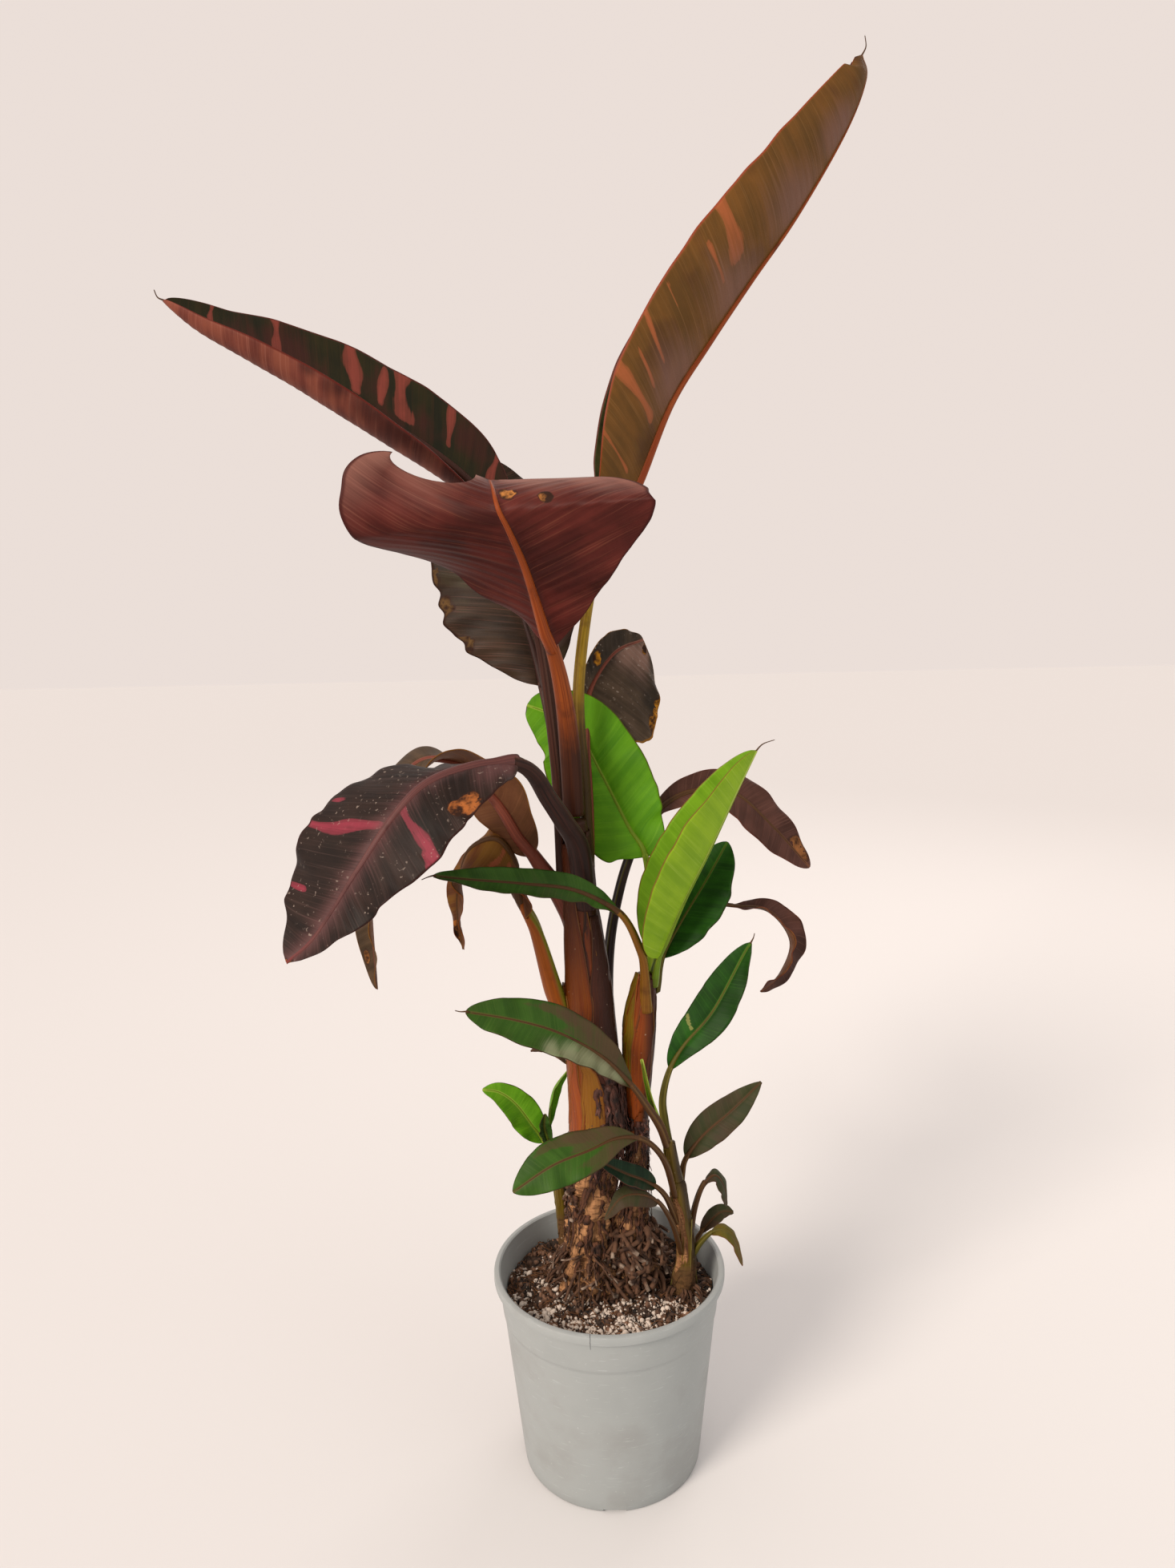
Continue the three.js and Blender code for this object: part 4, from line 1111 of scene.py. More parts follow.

# %% Colours of the leaves and stalks
# each row: ground, tint, side veins, streaks, midrib, margin, and what sets it apart; a colour for
# painted light is a painted highlight, and on coral_under a painted shadow
LEAF_PAINTS = {
    "red_under": ("3c1410", "56211b", "70402f", "8a4030", "7a3c22", "3a120f",
                  {"scorch": "b0743a", "wash": "2a0e0c", "shine": "8e6256"}),
    "brown_top": ("3e281a", "56362a", "2a1810", "8a5a30", "6a4020", "30120e",
                  {"scorch": "b5702a"}),
    "bronze_under": ("553a16", "6a461c", "7c5830", "985430", "6e3c14", "84381f",
                     {"wash": "432a14", "shine": "74544a"}),
    "bronze_top": ("22240e", "363818", "4a3618", "8a4228", "6a3614", "5a2012", {}),
    "night_top": ("1a1a0e", "28240f", "382414", "7c3a30", "4c2018", "54201a", {"wash": "3a1a16"}),
    # coral_under: its near black colour for painted light is a painted shadow on the rolled half of
    # the upper left leaf
    "coral_under": ("7c4434", "643028", "905a4a", "9a4038", "3a1c1a", "5a2018",
                    {"gloss": 0.5, "wash": "4e241c", "shine": "1e0d0d"}),
    "wine_top": ("1b1310", "2c1f1a", "443430", "86303f", "6e3030", "2e1410",
                 {"scorch": "9a5a2c", "wash": "10110f", "shine": "664444", "dust": 0.5}),
    "wine_under": ("34201a", "4a2c22", "5e3e30", "743030", "5e3424", "3e1c14", {}),
    "burnt_top": ("221810", "36271b", "6c463c", "5a3a26", "4a3024", "2a150d",
                  {"scorch": "5c4426", "wash": "36341f"}),
    "ash_top": ("3a2e22", "544436", "1e1811", "94591c", "7e5244", "946014",
                {"scorch": "b5791c", "wash": "0c0b06", "shine": "86685c",
                 "washed": 0.46, "dust": 0.5}),
    "dry_top": ("36291b", "4e3c2a", "2a1c12", "6e3c1c", "50362a", "6e4a22",
                {"scorch": "86582c", "gloss": 0.52}),
    "dry_under": ("50301e", "644028", "744e32", "8a5628", "6a442c", "8a5c24",
                  {"scorch": "8a6030", "gloss": 0.52, "wash": "38220f"}),
    "dusk_top": ("3c241d", "55362e", "6e4c42", "7a3c2c", "6a4430", "6a3424",
                 {"scorch": "8a5a34", "gloss": 0.5, "wash": "26150f"}),
    "gold_top": ("56301a", "6c4420", "7e5c34", "9a5238", "6a4424", "7a3a14",
                 {"scorch": "a8652a", "gloss": 0.5, "wash": "77541e"}),
    "dark_top": ("0e2012", "18301c", "2a4430", "5a3a24", "3e3222", "54342a",
                 {"gloss": 0.44, "wash": "3a2820"}),
    "lime_under": ("6f9414", "84a61e", "a2ba4a", "a8c060", "aebc5c", "6e5222",
                   {"gloss": 0.44, "veins": 0.4}),
    "lime_top": ("5c8810", "6f9c18", "88ae34", "a0c04a", "9eb048", "6e5222",
                 {"gloss": 0.42, "veins": 0.4}),
    "fresh_top": ("457c0c", "5a9214", "76a82c", "9ab84a", "8aa83c", "4a4a14",
                  {"gloss": 0.42, "veins": 0.4}),
    "fresh_under": ("4c7a14", "5e8c20", "76a036", "8aa83c", "86983c", "4a4218",
                    {"gloss": 0.48, "veins": 0.4}),
    # shade_top is the fresh green made darker: painted shade
    "shade_top": ("14360a", "22520e", "346418", "8a8a4e", "466a1c", "2e2a10",
                  {"gloss": 0.42, "veins": 0.4, "wash": "0e2606"}),
    "deep_top": ("25420f", "335418", "4c6228", "483726", "4e4a22", "3a2a18",
                 {"gloss": 0.42, "veins": 0.4, "wash": "303c1a", "shine": "8a9070"}),
    "deep_under": ("3c4620", "4c5428", "5e6236", "6a5a34", "5c5228", "4a2a18",
                   {"gloss": 0.5, "veins": 0.4, "wash": "4a3a24"}),
    "murky_top": ("2a3018", "3a3a22", "4c4630", "5a3a24", "463a26", "4e2e22",
                  {"gloss": 0.48, "wash": "3e2b22", "washed": 0.46}),
    "olive_top": ("4a4614", "5e541c", "6c5a28", "8a5a24", "744418", "6c2c12",
                  {"gloss": 0.48, "wash": "4e3418"}),
}
LEAF = {name: leaf_finish(name, *map(paint, colours), **apart)
        for name, (*colours, apart) in LEAF_PAINTS.items()}
# each row: ground, tint, edges of the channel, and what sets it apart
STALK_PAINTS = {
    "orange": ("722c0c", "94481a", "34120c", {}),
    "ember": ("6a2d0e", "8a4418", "7a5c4e", {"dark": "2a140c", "base": "20110c", "reach": 75.0}),
    "umber": ("2a1610", "43241a", "5a3c30", {"dark": "180d0a"}),
    "dark": ("20120e", "3a201a", "54382a", {"dark": "140c0b"}),
    "golden": ("76600e", "94761c", "5e3c14",
               {"dark": "4a2a10", "base": "22120c", "reach": 130.0}),
    "amber": ("80400c", "984f14", "8a8420", {"dark": "4a1c0c", "flank": "6c701c"}),
    "mauve": ("503030", "643e3a", "301a18", {}),
    "rose": ("5c2c20", "7c4030", "30160e", {}),
    "tan": ("66400f", "7c561a", "7a6a24", {"dark": "34180c"}),
    "brown": ("3c2614", "54381c", "6a5024", {}),
    "smoke": ("22191a", "382a28", "6a6420", {"dark": "171011"}),
    "green": ("567016", "748c20", "8c9a38", {"dark": "4a4214"}),
    "olive": ("423e12", "585018", "70662c", {"dark": "32200f"}),
}
STALK = {name: stalk_finish("stalk_" + name, *map(paint, colours), **apart)
         for name, (*colours, apart) in STALK_PAINTS.items()}
print("leaf finishes:", len(LEAF), "stalk finishes:", len(STALK))

# %% [markdown]
# Growing a leaf takes four steps: the stalk as a tube with a channel along its top, the blade
# as a grid, the midrib as a half-buried tapering tube below it, and on some a thread-like tip.
# Curves with a bevel could make the tubes, but a grid lets the section have its channel and
# gives each point the place along the stalk that the finish reads.


# %% Stalk, midrib and thread
def tube(name, route, start, stop, radii, across, depth=0.85, channel=0.0, drop=None, rows=None):
    rows = rows or max(10, int((stop - start) / 3))

    def place(u, v):
        length = start + (stop - start) * v
        centre, right, upward = leaf_frame(route, length, spread(across, v))
        angle = u * 2 * np.pi
        radius = np.interp(v, np.linspace(0, 1, len(radii)), radii)
        groove = 1 - channel * np.exp(-((angle - np.pi / 2) / 0.5) ** 2)
        size = (radius * groove * closed_ends(v))[:, None]
        points = centre + right * size * np.cos(angle)[:, None]
        points = points + upward * size * depth * np.sin(angle)[:, None]
        if drop is not None:
            points = points - upward * drop(v)[:, None]
        lip = np.exp(-((np.abs(angle - np.pi / 2) - 0.75) / 0.3) ** 2) * (channel > 0)
        lie = np.stack([np.cos(angle), length, lip], axis=1)
        return points, lie, np.stack([np.sin(angle), v, v], axis=1)

    piece = grid_piece(name, 20, rows, place)
    close_seam(piece)
    return piece


print("tube helper for leaves ready")

# %% [markdown]
# Part of the big red leaf's margin is missing in a shallow bay. Making the leaf narrower there
# only dents it, so the bay is cut out with an oval cutter that points at the camera. A cut
# makes new points, and they need the stored marks too: each takes those of the old point that
# lies nearest.


# %% A piece torn out of a margin
def bite(sheet, centre, oval, tilt):
    """Cuts an oval, seen from the front, and gives new points the marks of the nearest old one."""
    old = sheet.data.copy()
    place = Vector(centre) * MM
    bpy.ops.mesh.primitive_cylinder_add(vertices=48, radius=1, depth=0.12)
    cutter = bpy.context.object
    facing = (place - camera.location).to_track_quat("Z", "Y").to_matrix().to_4x4()
    turn = Matrix.Rotation(math.radians(tilt), 4, "Z")
    shape = Matrix.Diagonal((oval[0] * MM, oval[1] * MM, 1, 1))
    cutter.matrix_world = Matrix.Translation(place) @ facing @ turn @ shape
    cut_away(sheet, cutter)
    nearest = KDTree(len(old.vertices))
    for vertex in old.vertices:
        nearest.insert(vertex.co, vertex.index)
    nearest.balance()
    for label in ("lie", "marks"):
        before, after = old.attributes[label].data, sheet.data.attributes[label].data
        for vertex in sheet.data.vertices:
            after[vertex.index].vector = before[nearest.find(vertex.co)[1]].vector
    print("torn:", len(old.vertices), "points before,", len(sheet.data.vertices), "after")


print("bite helper ready")

# %% [markdown]
# A blade is a grid whose rows cross the midrib. Each half has its own width and may be lifted
# or rolled; side veins ripple it, waves run along its margins, and chance makes the margins
# ragged. Streaks, scorched spots and spots of painted light are given as a half of the leaf, a
# place along it and a place across it, and become marks on the points. The painted light is a
# painted highlight, and a painted shadow where its colour is dark.


# %% Marks on a blade
CRISP_MARGIN = 0.03
CRISP_TIP = 0.02


def leaf_marks(leaf, v, share, off, right_half, half, total):
    """For each point how streaked, how dead and how strong its painted light is: a painted
    highlight, and a painted shadow where the finish gives it a dark colour.
    """

    def spot(at, across_at, size):
        return np.hypot((v - at) * total, (share - across_at) * half) / size

    lane = (total * v - off * SLANT) / total
    streak = np.zeros_like(v)
    for which, at, wide, low, high in leaf.get("streaks", []):
        waver = 0.3 * wide * np.sin(share * 5 + at * 40) + 0.006 * np.sin(share * 3 + at * 90)
        shift = (lane - at + waver) / (wide * (1 + 0.35 * np.sin(share * 8 + at * 70)))
        inside = np.clip((share - low) * 12, 0, 1) * np.clip((high - share) * 12, 0, 1)
        band = np.clip(1.5 - np.abs(shift), 0, 1) * inside
        streak = np.maximum(streak, band * (right_half == which))
    age = np.zeros_like(v)
    for which, at, across_at, size in leaf.get("scorch", []):
        burn = np.clip(1.4 - spot(at, across_at, size), 0, 1)
        age = np.maximum(age, burn * (right_half == which))
    margin = share - 1 + leaf.get("crisp", CRISP_MARGIN)
    age = np.maximum(age, np.clip(margin * 14, 0, 1) * 0.8)
    tip = v - 1 + leaf.get("tip_crisp", CRISP_TIP)
    age = np.maximum(age, np.clip(tip * 30, 0, 1))
    # painted sheen along the midrib, as strong as pale says, then the spots of painted light
    painted_light = leaf.get("pale", 0.0) * np.exp(-off / 14)
    for which, at, across_at, size in leaf.get("shines", []):
        painted_light_mask = np.exp(-spot(at, across_at, size) ** 2)
        painted_light = np.maximum(painted_light, painted_light_mask * (right_half == which))
    return np.stack([streak, age, painted_light], axis=1)


print("marks helper ready")


# %% Blade
BLADE_THICKNESS = 0.55
VEIN_PITCH = 6.5
COLUMN = 3.2
ROW = 1.35
RIB_TIP = 0.9
WAVE_TURN = 6.28


def blade_width(leaf, side, t):
    widest, fullness = (np.broadcast_to(leaf[key], 2)[side] for key in ("widest", "fullness"))
    inside = np.clip(t, 1e-6, 1 - 1e-6)
    return np.sin(np.pi * inside ** (np.log(0.5) / np.log(widest))) ** fullness


def blade(name, leaf, route, start):
    total = route.total - start
    ripple = leaf.get("ripple", 0.16)
    waves, turns = leaf.get("waves", (2.0, 5))
    wobble = [noise_line(waves, int(turns * 2.4), leaf["seed"] + k) for k in (0, 1)]
    ragged = [noise_line(leaf.get("ragged", 0.012), 22, leaf["seed"] + k) for k in (2, 3)]
    phase = leaf["seed"] * 0.7

    def place(u, v):
        side = 2 * u - 1
        share = np.abs(side)
        sign = np.where(side < 0, -1.0, 1.0)
        right_half = (side > 0).astype(int)
        half = np.array(leaf["half"], float)[right_half]
        across = spread(leaf["across"], v)
        centre, right, upward = leaf_frame(
            route, start + total * v, across, leaf.get("skewed", False))
        edge = 1 + np.where(right_half == 1, ragged[1](v), ragged[0](v))
        for which, at, depth, wide in leaf.get("notches", []):
            dent = depth * np.exp(-np.abs((v - at) / wide) ** 2.5)
            edge = edge * (1 - dent * (right_half == which))
        rib = leaf["stalk"][1] * (1 - v) + RIB_TIP * v
        width = np.maximum(half * blade_width(leaf, right_half, v) * edge, rib * 0.9)
        rows = np.arange(len(v))
        lift = np.radians(spread(leaf["lift"], v))[rows, right_half]
        curl = np.radians(spread(leaf["curl"], v))[rows, right_half] + 1e-5
        angle = lift + curl * share
        out = (np.sin(angle) - np.sin(lift)) / curl * width
        up = (np.cos(lift) - np.cos(angle)) / curl * width
        off = share * width
        lane = total * v - off * SLANT
        veins = np.sin(2 * np.pi * lane / leaf.get("pitch", VEIN_PITCH))
        veins = ripple * veins * np.clip(off / 6, 0, 1) * (1 - share ** 3)
        wave = np.where(right_half == 1, wobble[1](v), wobble[0](v)) * share ** 2.5
        wave = wave + 0.3 * waves * np.sin(v * turns * WAVE_TURN + phase + side * 2) * share ** 3
        groove = -0.55 * rib * np.exp(-(off / (rib * 0.9 + 0.3)) ** 2)
        taper = np.clip(np.minimum(v, 1 - v) * 12, 0, 1)
        normal = upward * np.cos(angle)[:, None] - right * (sign * np.sin(angle))[:, None]
        points = centre + right * (sign * out)[:, None] + upward * up[:, None]
        points = points + normal * (groove + (veins + wave) * taper)[:, None]
        lie = np.stack([side, total * v, off], axis=1)
        return points, lie, leaf_marks(leaf, v, share, off, right_half, half, total)

    columns = 2 * max(8, int(max(leaf["half"]) / COLUMN * leaf.get("fine", 1)))
    piece = grid_piece(name, columns, max(36, int(total / ROW)), place)
    piece.data.materials.append(LEAF[leaf["top"]])
    piece.data.materials.append(LEAF[leaf["under"]])
    for centre, oval, tilt in leaf.get("bites", []):
        bite(piece, centre, oval, tilt)
    thicken(piece, BLADE_THICKNESS)
    return piece


print("blade helper ready")

# %% [markdown]
# One call grows one leaf from its route, the line from the foot of the stalk to the tip. The
# tubes of stalk and midrib overlap where they meet, and the midrib leaves the stalk's middle
# only gradually, so that no gap or step shows. A leaf that bends widely stays two pieces, as
# its solids are; a small one is joined into one.


# %% A whole leaf
JOINT = 5
SETTLE = 24
CHANNEL = 0.45
RIB_END = 0.985
HAIR = [0.9, 0.6, 0.4, 0.35]


def midrib(name, leaf, route, start, neck):
    total = route.total - start

    def sink(v):
        down = np.clip(v * total / min(SETTLE, total / 4), 0, 1)
        return 0.75 * (neck * (1 - v) + RIB_TIP * v) * down ** 2 * (3 - 2 * down)

    radii = [neck, 0.6 * neck, 0.35 * neck, 0.45]
    rib = tube(name + "_rib", route, start - JOINT, start + total * RIB_END, radii,
               leaf["across"], depth=0.95, drop=sink, rows=max(24, int(total / 3)))
    rib.data.materials.append(STALK[leaf.get("rib", leaf["stem"])])
    return rib


def tip_hair(name, leaf):
    """The thread at a young leaf's tip, given as steps from the end of its route."""
    before, end = np.array(leaf["route"][-2:], float)
    path = Route([end - (end - before) * 0.08, end,
                  *(end + np.array(step) for step in leaf["thread"])])
    hair = tube(name + "_hair", path, 0, path.total, HAIR, leaf["across"][:1], rows=16)
    hair.data.materials.append(STALK["brown"])
    return hair


def grow(name, slot, **leaf):
    leaf["seed"] = sum(ord(letter) for letter in name)
    route = Route(leaf["route"])
    start = route.length_at(leaf["blade"])
    base, neck = leaf["stalk"]
    flare = leaf.get("flare", base)
    radii = [flare, (flare + base) / 2, *np.linspace(base, neck, 5)]
    stalk = tube(name + "_stalk", route, 0, start + JOINT, radii, leaf["across"][:1],
                 channel=CHANNEL)
    stalk.data.materials.append(STALK[leaf["stem"]])
    parts = [blade(name + "_sheet", leaf, route, start), midrib(name, leaf, route, start, neck)]
    if "thread" in leaf:
        parts.append(tip_hair(name, leaf))
    if leaf.get("split"):
        stand_for(stalk, name + "_stalk")
        whole = stand_for(join(parts), name + "_blade")
    else:
        whole = stand_for(join(parts + [stalk]), name)
    print(name, "faces:", len(whole.data.polygons))


print("leaf helper ready")

# %% [markdown]
# The five leaves of the tall stem's crown come first. The biggest bends forward over its own
# midrib and shows its red underside like an open cloak, so its midrib's route turns back near
# the end and its two halves are wide and skewed.

# %% The big red leaf
grow("leaf_front_red", "red", split=True, top="brown_top", under="red_under", stem="ember",
     rib="orange",
     route=[(-20, -5, 546), (-22, -14, 603), (-27, -35, 652), (-36, -60, 693), (-46, -85, 731),
            (-56, -105, 757), (-62, -110, 769), (-66, -96, 781), (-70, -68, 789)],
     blade=2.6, stalk=(8.5, 5), half=(98, 101), skewed=True,
     across=[(-0.9, 0.43, 0.06), (-0.9, 0.43, 0.04), (-0.97, 0.2, -0.08), (-0.97, -0.15, 0.22)],
     lift=[(10, 10), (5, 5), (0, -3), (-16, -12)], curl=[(10, 10), (0, 0), (0, 0), (0, 0)],
     widest=0.7, fullness=0.5, waves=(3.0, 4), pitch=7.5, ripple=0.28, fine=2,
     bites=[((-104.7, -85, 798.3), (28, 9.5), 13)],
     notches=[(1, 0.965, 0.35, 0.03), (0, 0.36, 0.1, 0.2)],
     # spots of painted light: pale pink-grey painted highlights near the tip
     shines=[(1, 0.98, 0.5, 42), (1, 0.9, 1, 34), (0, 0.98, 0.4, 36), (0, 0.93, 0.75, 34),
             (0, 0.86, 1, 24)],
     scorch=[(0, 0.78, 0.1, 7), (0, 0.74, 0.33, 5)])

# %% [markdown]
# The tallest leaf stands at the right, folded along its midrib so that mostly one half shows.
# Both halves are lifted steeply and rolled a little. Thin orange streaks follow its veins.

# %% The tall folded leaf
grow("leaf_tall_right", "bronze", split=True, top="bronze_top", under="bronze_under", stem="golden",
     rib="orange",
     route=[(-10, 9, 500), (-12, 13, 560), (-15, 20, 641), (-2, 35, 725), (14, 45, 766),
            (32, 50, 796), (58, 60, 854), (88, 65, 898), (121, 70, 943), (156, 74, 989),
            (192, 76, 1046), (207, 76, 1082), (204, 76, 1098)],
     blade=4, stalk=(6, 4.5), half=(56, 64), across=[(0.25, -0.96, -0.03)],
     lift=[(35, 40), (40, 45), (35, 40)], curl=[(50, 50), (50, 50), (50, 50)],
     widest=0.46, fullness=0.42, waves=(1.6, 5), pitch=7.0,
     streaks=[(1, 0.51, 0.016, 0.3, 1.1), (1, 0.46, 0.005, 0.3, 0.85), (1, 0.19, 0.009, 0.15, 1.1),
              (1, 0.28, 0.004, 0.4, 1.1), (1, 0.23, 0.003, 0.35, 0.9), (1, 0.35, 0.003, 0.6, 1.0),
              (1, 0.08, 0.004, 0.3, 1.1)],
     # spots of painted light: a painted sheen along the midrib of the right half
     shines=[(1, 0.3, 0.05, 40), (1, 0.5, 0.05, 40), (1, 0.7, 0.1, 40), (1, 0.85, 0.2, 30)],
     thread=[(3, 0, 6), (2, 0, 14)])

# %% [markdown]
# The dark leaf at the left reaches outwards, with its lower half rolled under: there the
# paler, coral underside shows. A curl of 120 to 170 degrees on that half makes the roll.
# Spots of painted light along that half's margin are a painted shadow on the coral underside
# and a faint painted highlight in the vein colour on the top face.

# %% The upper left leaf
grow("leaf_upper_left", "dark", split=True, top="night_top", under="coral_under", stem="umber",
     route=[(-30, 2, 490), (-31, 4, 545), (-33, 6, 592), (-42, 10, 675), (-56, 10, 726),
            (-71, 5, 772), (-88, 0, 795), (-114, -8, 817), (-151, -20, 841), (-186, -30, 861),
            (-221, -40, 878), (-254, -48, 893), (-280, -55, 909)],
     blade=5, stalk=(5.5, 4), half=(52, 40), across=[(0.4, 0.75, 0.5), (0.2, 0.85, 0.45)],
     lift=[(-30, 10), (-45, 15), (-30, 10)], curl=[(120, 10), (170, 10), (150, 20)],
     widest=(0.42, 0.36), fullness=(0.56, 0.53), waves=(1.5, 5),
     # spots of painted light: a painted shadow on the rolled half's coral underside
     shines=[(0, 0.1, 1, 14), (0, 0.18, 1, 19), (0, 0.27, 1, 21), (0, 0.36, 1, 20),
             (0, 0.45, 1, 17), (0, 0.54, 1, 13), (0, 0.62, 1, 9)],
     streaks=[(1, 0.7, 0.01, 0.0, 1.1), (1, 0.49, 0.02, 0.1, 1.1), (1, 0.4, 0.012, 0.15, 1.0),
              (1, 0.345, 0.024, 0.1, 1.1), (1, 0.2, 0.01, 0.2, 1.1), (1, 0.06, 0.01, 0.0, 1.1),
              (1, 0.87, 0.006, 0.2, 1.1)],
     thread=[(-4, 0, 2), (-6, 0, 7)])

# %% [markdown]
# Behind the crown are two shorter, tired leaves with wavy margins and scorched spots.

# %% The two leaves behind
grow("leaf_back_left", "dark", split=True, top="burnt_top", under="wine_under", stem="dark",
     route=[(-26, 12, 480), (-29, 17, 545), (-36, 24, 610), (-48, 40, 664), (-59, 55, 701),
            (-71, 70, 745), (-80, 80, 788), (-83, 84, 818)],
     blade=2.6, stalk=(5, 3.5), half=(63, 56), across=[(0.97, 0, 0.22)],
     lift=[(10, 15), (5, 10), (0, 0)], curl=[(-20, 10), (-30, 10), (-20, 0)],
     widest=0.5, fullness=0.65, waves=(4.5, 6), ripple=0.3, ragged=0.04,
     crisp=0.05, scorch=[(0, 0.46, 0.95, 9), (0, 0.28, 0.95, 9), (0, 0.6, 1, 10),
                         (1, 0.9, 0.3, 10), (0, 0.86, 0.8, 8)])
grow("leaf_back_right", "dark", split=True, top="ash_top", under="wine_under", stem="rose",
     route=[(-10, 14, 470), (-9, 24, 545), (-10, 40, 600), (-6, 62, 634), (15, 85, 663),
            (40, 108, 672)],
     blade=2.7, stalk=(4.5, 3), half=(17, 72), skewed=True,
     across=[(0.55, -0.35, -0.75), (0.5, -0.4, -0.8)], lift=[(20, 0), (20, -5)],
     curl=[(0, -10)], widest=0.5, fullness=0.5,
     waves=(2.5, 5), crisp=0.05, ripple=0.45, pitch=5.5,
     scorch=[(1, 0.58, 0.97, 9), (1, 0.72, 0.97, 9), (1, 0.96, 0.3, 8), (0, 0.4, 0.5, 6)],
     # spots of painted light: a pale pinkish grey painted sheen
     shines=[(1, 0.9, 0.3, 26), (1, 0.75, 0.1, 20)])

# %% [markdown]
# Lower on the tall stem, old leaves arch over and hang. Each is split at the stalk's end, and
# its blade follows its midrib down. On the big one crimson streaks run from midrib to margin;
# they are marks on the points, so they keep their place on the leaf.

# %% Arching leaves on the left
grow("leaf_big_left", "dark", split=True, top="wine_top", under="wine_under", stem="dark",
     route=[(-13, -8, 474), (-17, -18, 525), (-27, -30, 549), (-38, -42, 570), (-48, -54, 590),
            (-61, -66, 600), (-84, -82, 603), (-116, -100, 595), (-138, -112, 575),
            (-163, -122, 539), (-192, -126, 496), (-212, -126, 478)],
     blade=5, stalk=(10, 6.5), half=(51, 67),
     across=[(-0.6, 0.78, 0.15), (-0.65, 0.7, 0.3), (-0.45, 0.76, 0.45)],
     lift=[(0, -30), (-8, 0), (0, 10)], curl=[(-5, -5), (-10, -10), (0, 0)],
     widest=(0.35, 0.58), fullness=(0.9, 0.6), waves=(3.5, 8), pitch=6.0, ragged=0.03,
     # pale and the spots of painted light paint a pinkish grey sheen along the midrib and at the
     # foot of the blade
     ripple=0.2, tip_crisp=0.04, pale=0.9, rib="mauve",
     shines=[(0, 0.06, 0.4, 30), (1, 0.06, 0.5, 20), (1, 0.1, 0.95, 12)],
     streaks=[(1, 0.5, 0.022, 0.0, 1.1), (1, 0.74, 0.01, 0.55, 1.1), (1, 0.4, 0.01, 0.75, 1.0),
              (0, 0.4, 0.018, 0.0, 1.1), (0, 0.42, 0.03, 0.7, 1.1)],
     scorch=[(0, 0.25, 0.82, 12), (0, 0.3, 0.7, 8)])
grow("leaf_drooping_left", "maroon", split=True, top="dry_top", under="dry_under", stem="rose",
     route=[(-19, 4, 448), (-27, 5, 473), (-50, 8, 510), (-62, 12, 527), (-79, 20, 555),
            (-108, 30, 585), (-144, 38, 585), (-172, 40, 546), (-186, 35, 482), (-183, 25, 401)],
     blade=2.2, stalk=(9, 5), half=(36, 32),
     across=[(-0.75, 0.2, -0.6), (-0.5, 0.75, 0), (-0.5, 0.86, 0.1), (-0.62, 0.78, 0)],
     lift=[(0, 5), (-10, -10), (0, 0), (20, 20)],
     curl=[(0, 0), (-10, -10), (10, 10), (30, 30)], widest=0.4, fullness=0.6,
     waves=(3.0, 6), crisp=0.06, scorch=[(1, 0.92, 0.6, 9), (0, 0.96, 0.4, 8)])
grow("leaf_curled_left", "maroon", split=True, top="gold_top", under="dry_under", stem="amber",
     rib="brown", streaks=[(0, 0.3, 0.012, 0.1, 0.8), (0, 0.24, 0.008, 0.3, 0.9)],
     route=[(-25, 0, 372), (-38, -2, 407), (-51, 0, 455), (-62, 4, 480), (-65, 10, 506),
            (-81, 16, 526), (-104, 20, 517), (-113, 20, 491), (-115, 18, 465), (-111, 16, 436)],
     blade=2.8, stalk=(10, 5), half=(36, 16), skewed=True,
     across=[(-0.3, 0.6, 0.75), (-0.1, 0.5, 0.85), (0.1, 0.6, 0.8), (-0.7, 0.7, 0),
             (-0.7, 0.7, 0)],
     lift=[(0, -50), (0, -50), (0, -40), (10, 10), (10, 10)],
     curl=[(0, 0), (20, 0), (50, 0), (30, 20), (20, 20)], widest=0.32, fullness=0.8,
     waves=(3.0, 6), crisp=0.06, scorch=[(1, 0.9, 0.5, 14)])

# %% [markdown]
# On the right a maroon leaf comes from behind the stem and droops, and a withered, creased one
# hangs from the thinner stem. A third, small and dry, hides behind the tall stem at the left.

# %% Old leaves on the right and behind
grow("leaf_right_maroon", "maroon", split=True, top="dusk_top", under="dry_under", stem="smoke",
     rib="brown", flare=8,
     route=[(3, 15, 330), (4, 18, 422), (14, 24, 480), (30, 32, 521), (52, 40, 546),
            (78, 48, 555), (111, 55, 550), (141, 58, 522), (172, 58, 486)],
     blade=3.2, stalk=(5.5, 4), half=(20, 22),
     across=[(0.2, -0.8, -0.5), (-0.1, -0.6, -0.8), (-0.5, -0.55, -0.65)],
     lift=[(10, 10), (0, 0), (0, 0)], curl=[(0, 0)],
     widest=0.6, fullness=0.6, waves=(2.0, 5), crisp=0.05, scorch=[(0, 0.9, 0.4, 14)])
grow("leaf_withered_right", "maroon", split=True, top="dusk_top", under="dry_under", stem="brown",
     route=[(38, 9, 396), (45, 26, 438), (68, 45, 463), (106, 52, 457), (138, 56, 451),
            (157, 56, 424), (148, 54, 396), (131, 50, 382)],
     blade=3, stalk=(3, 1.8), half=(16, 15),
     across=[(0, -0.85, -0.5), (-0.47, -0.86, -0.19), (-0.44, -0.6, 0.6)],
     lift=[(10, 10), (20, 20), (10, 10)], curl=[(20, 20), (30, 30), (10, 10)],
     widest=0.6, fullness=0.7, waves=(2.5, 6), crisp=0.08)
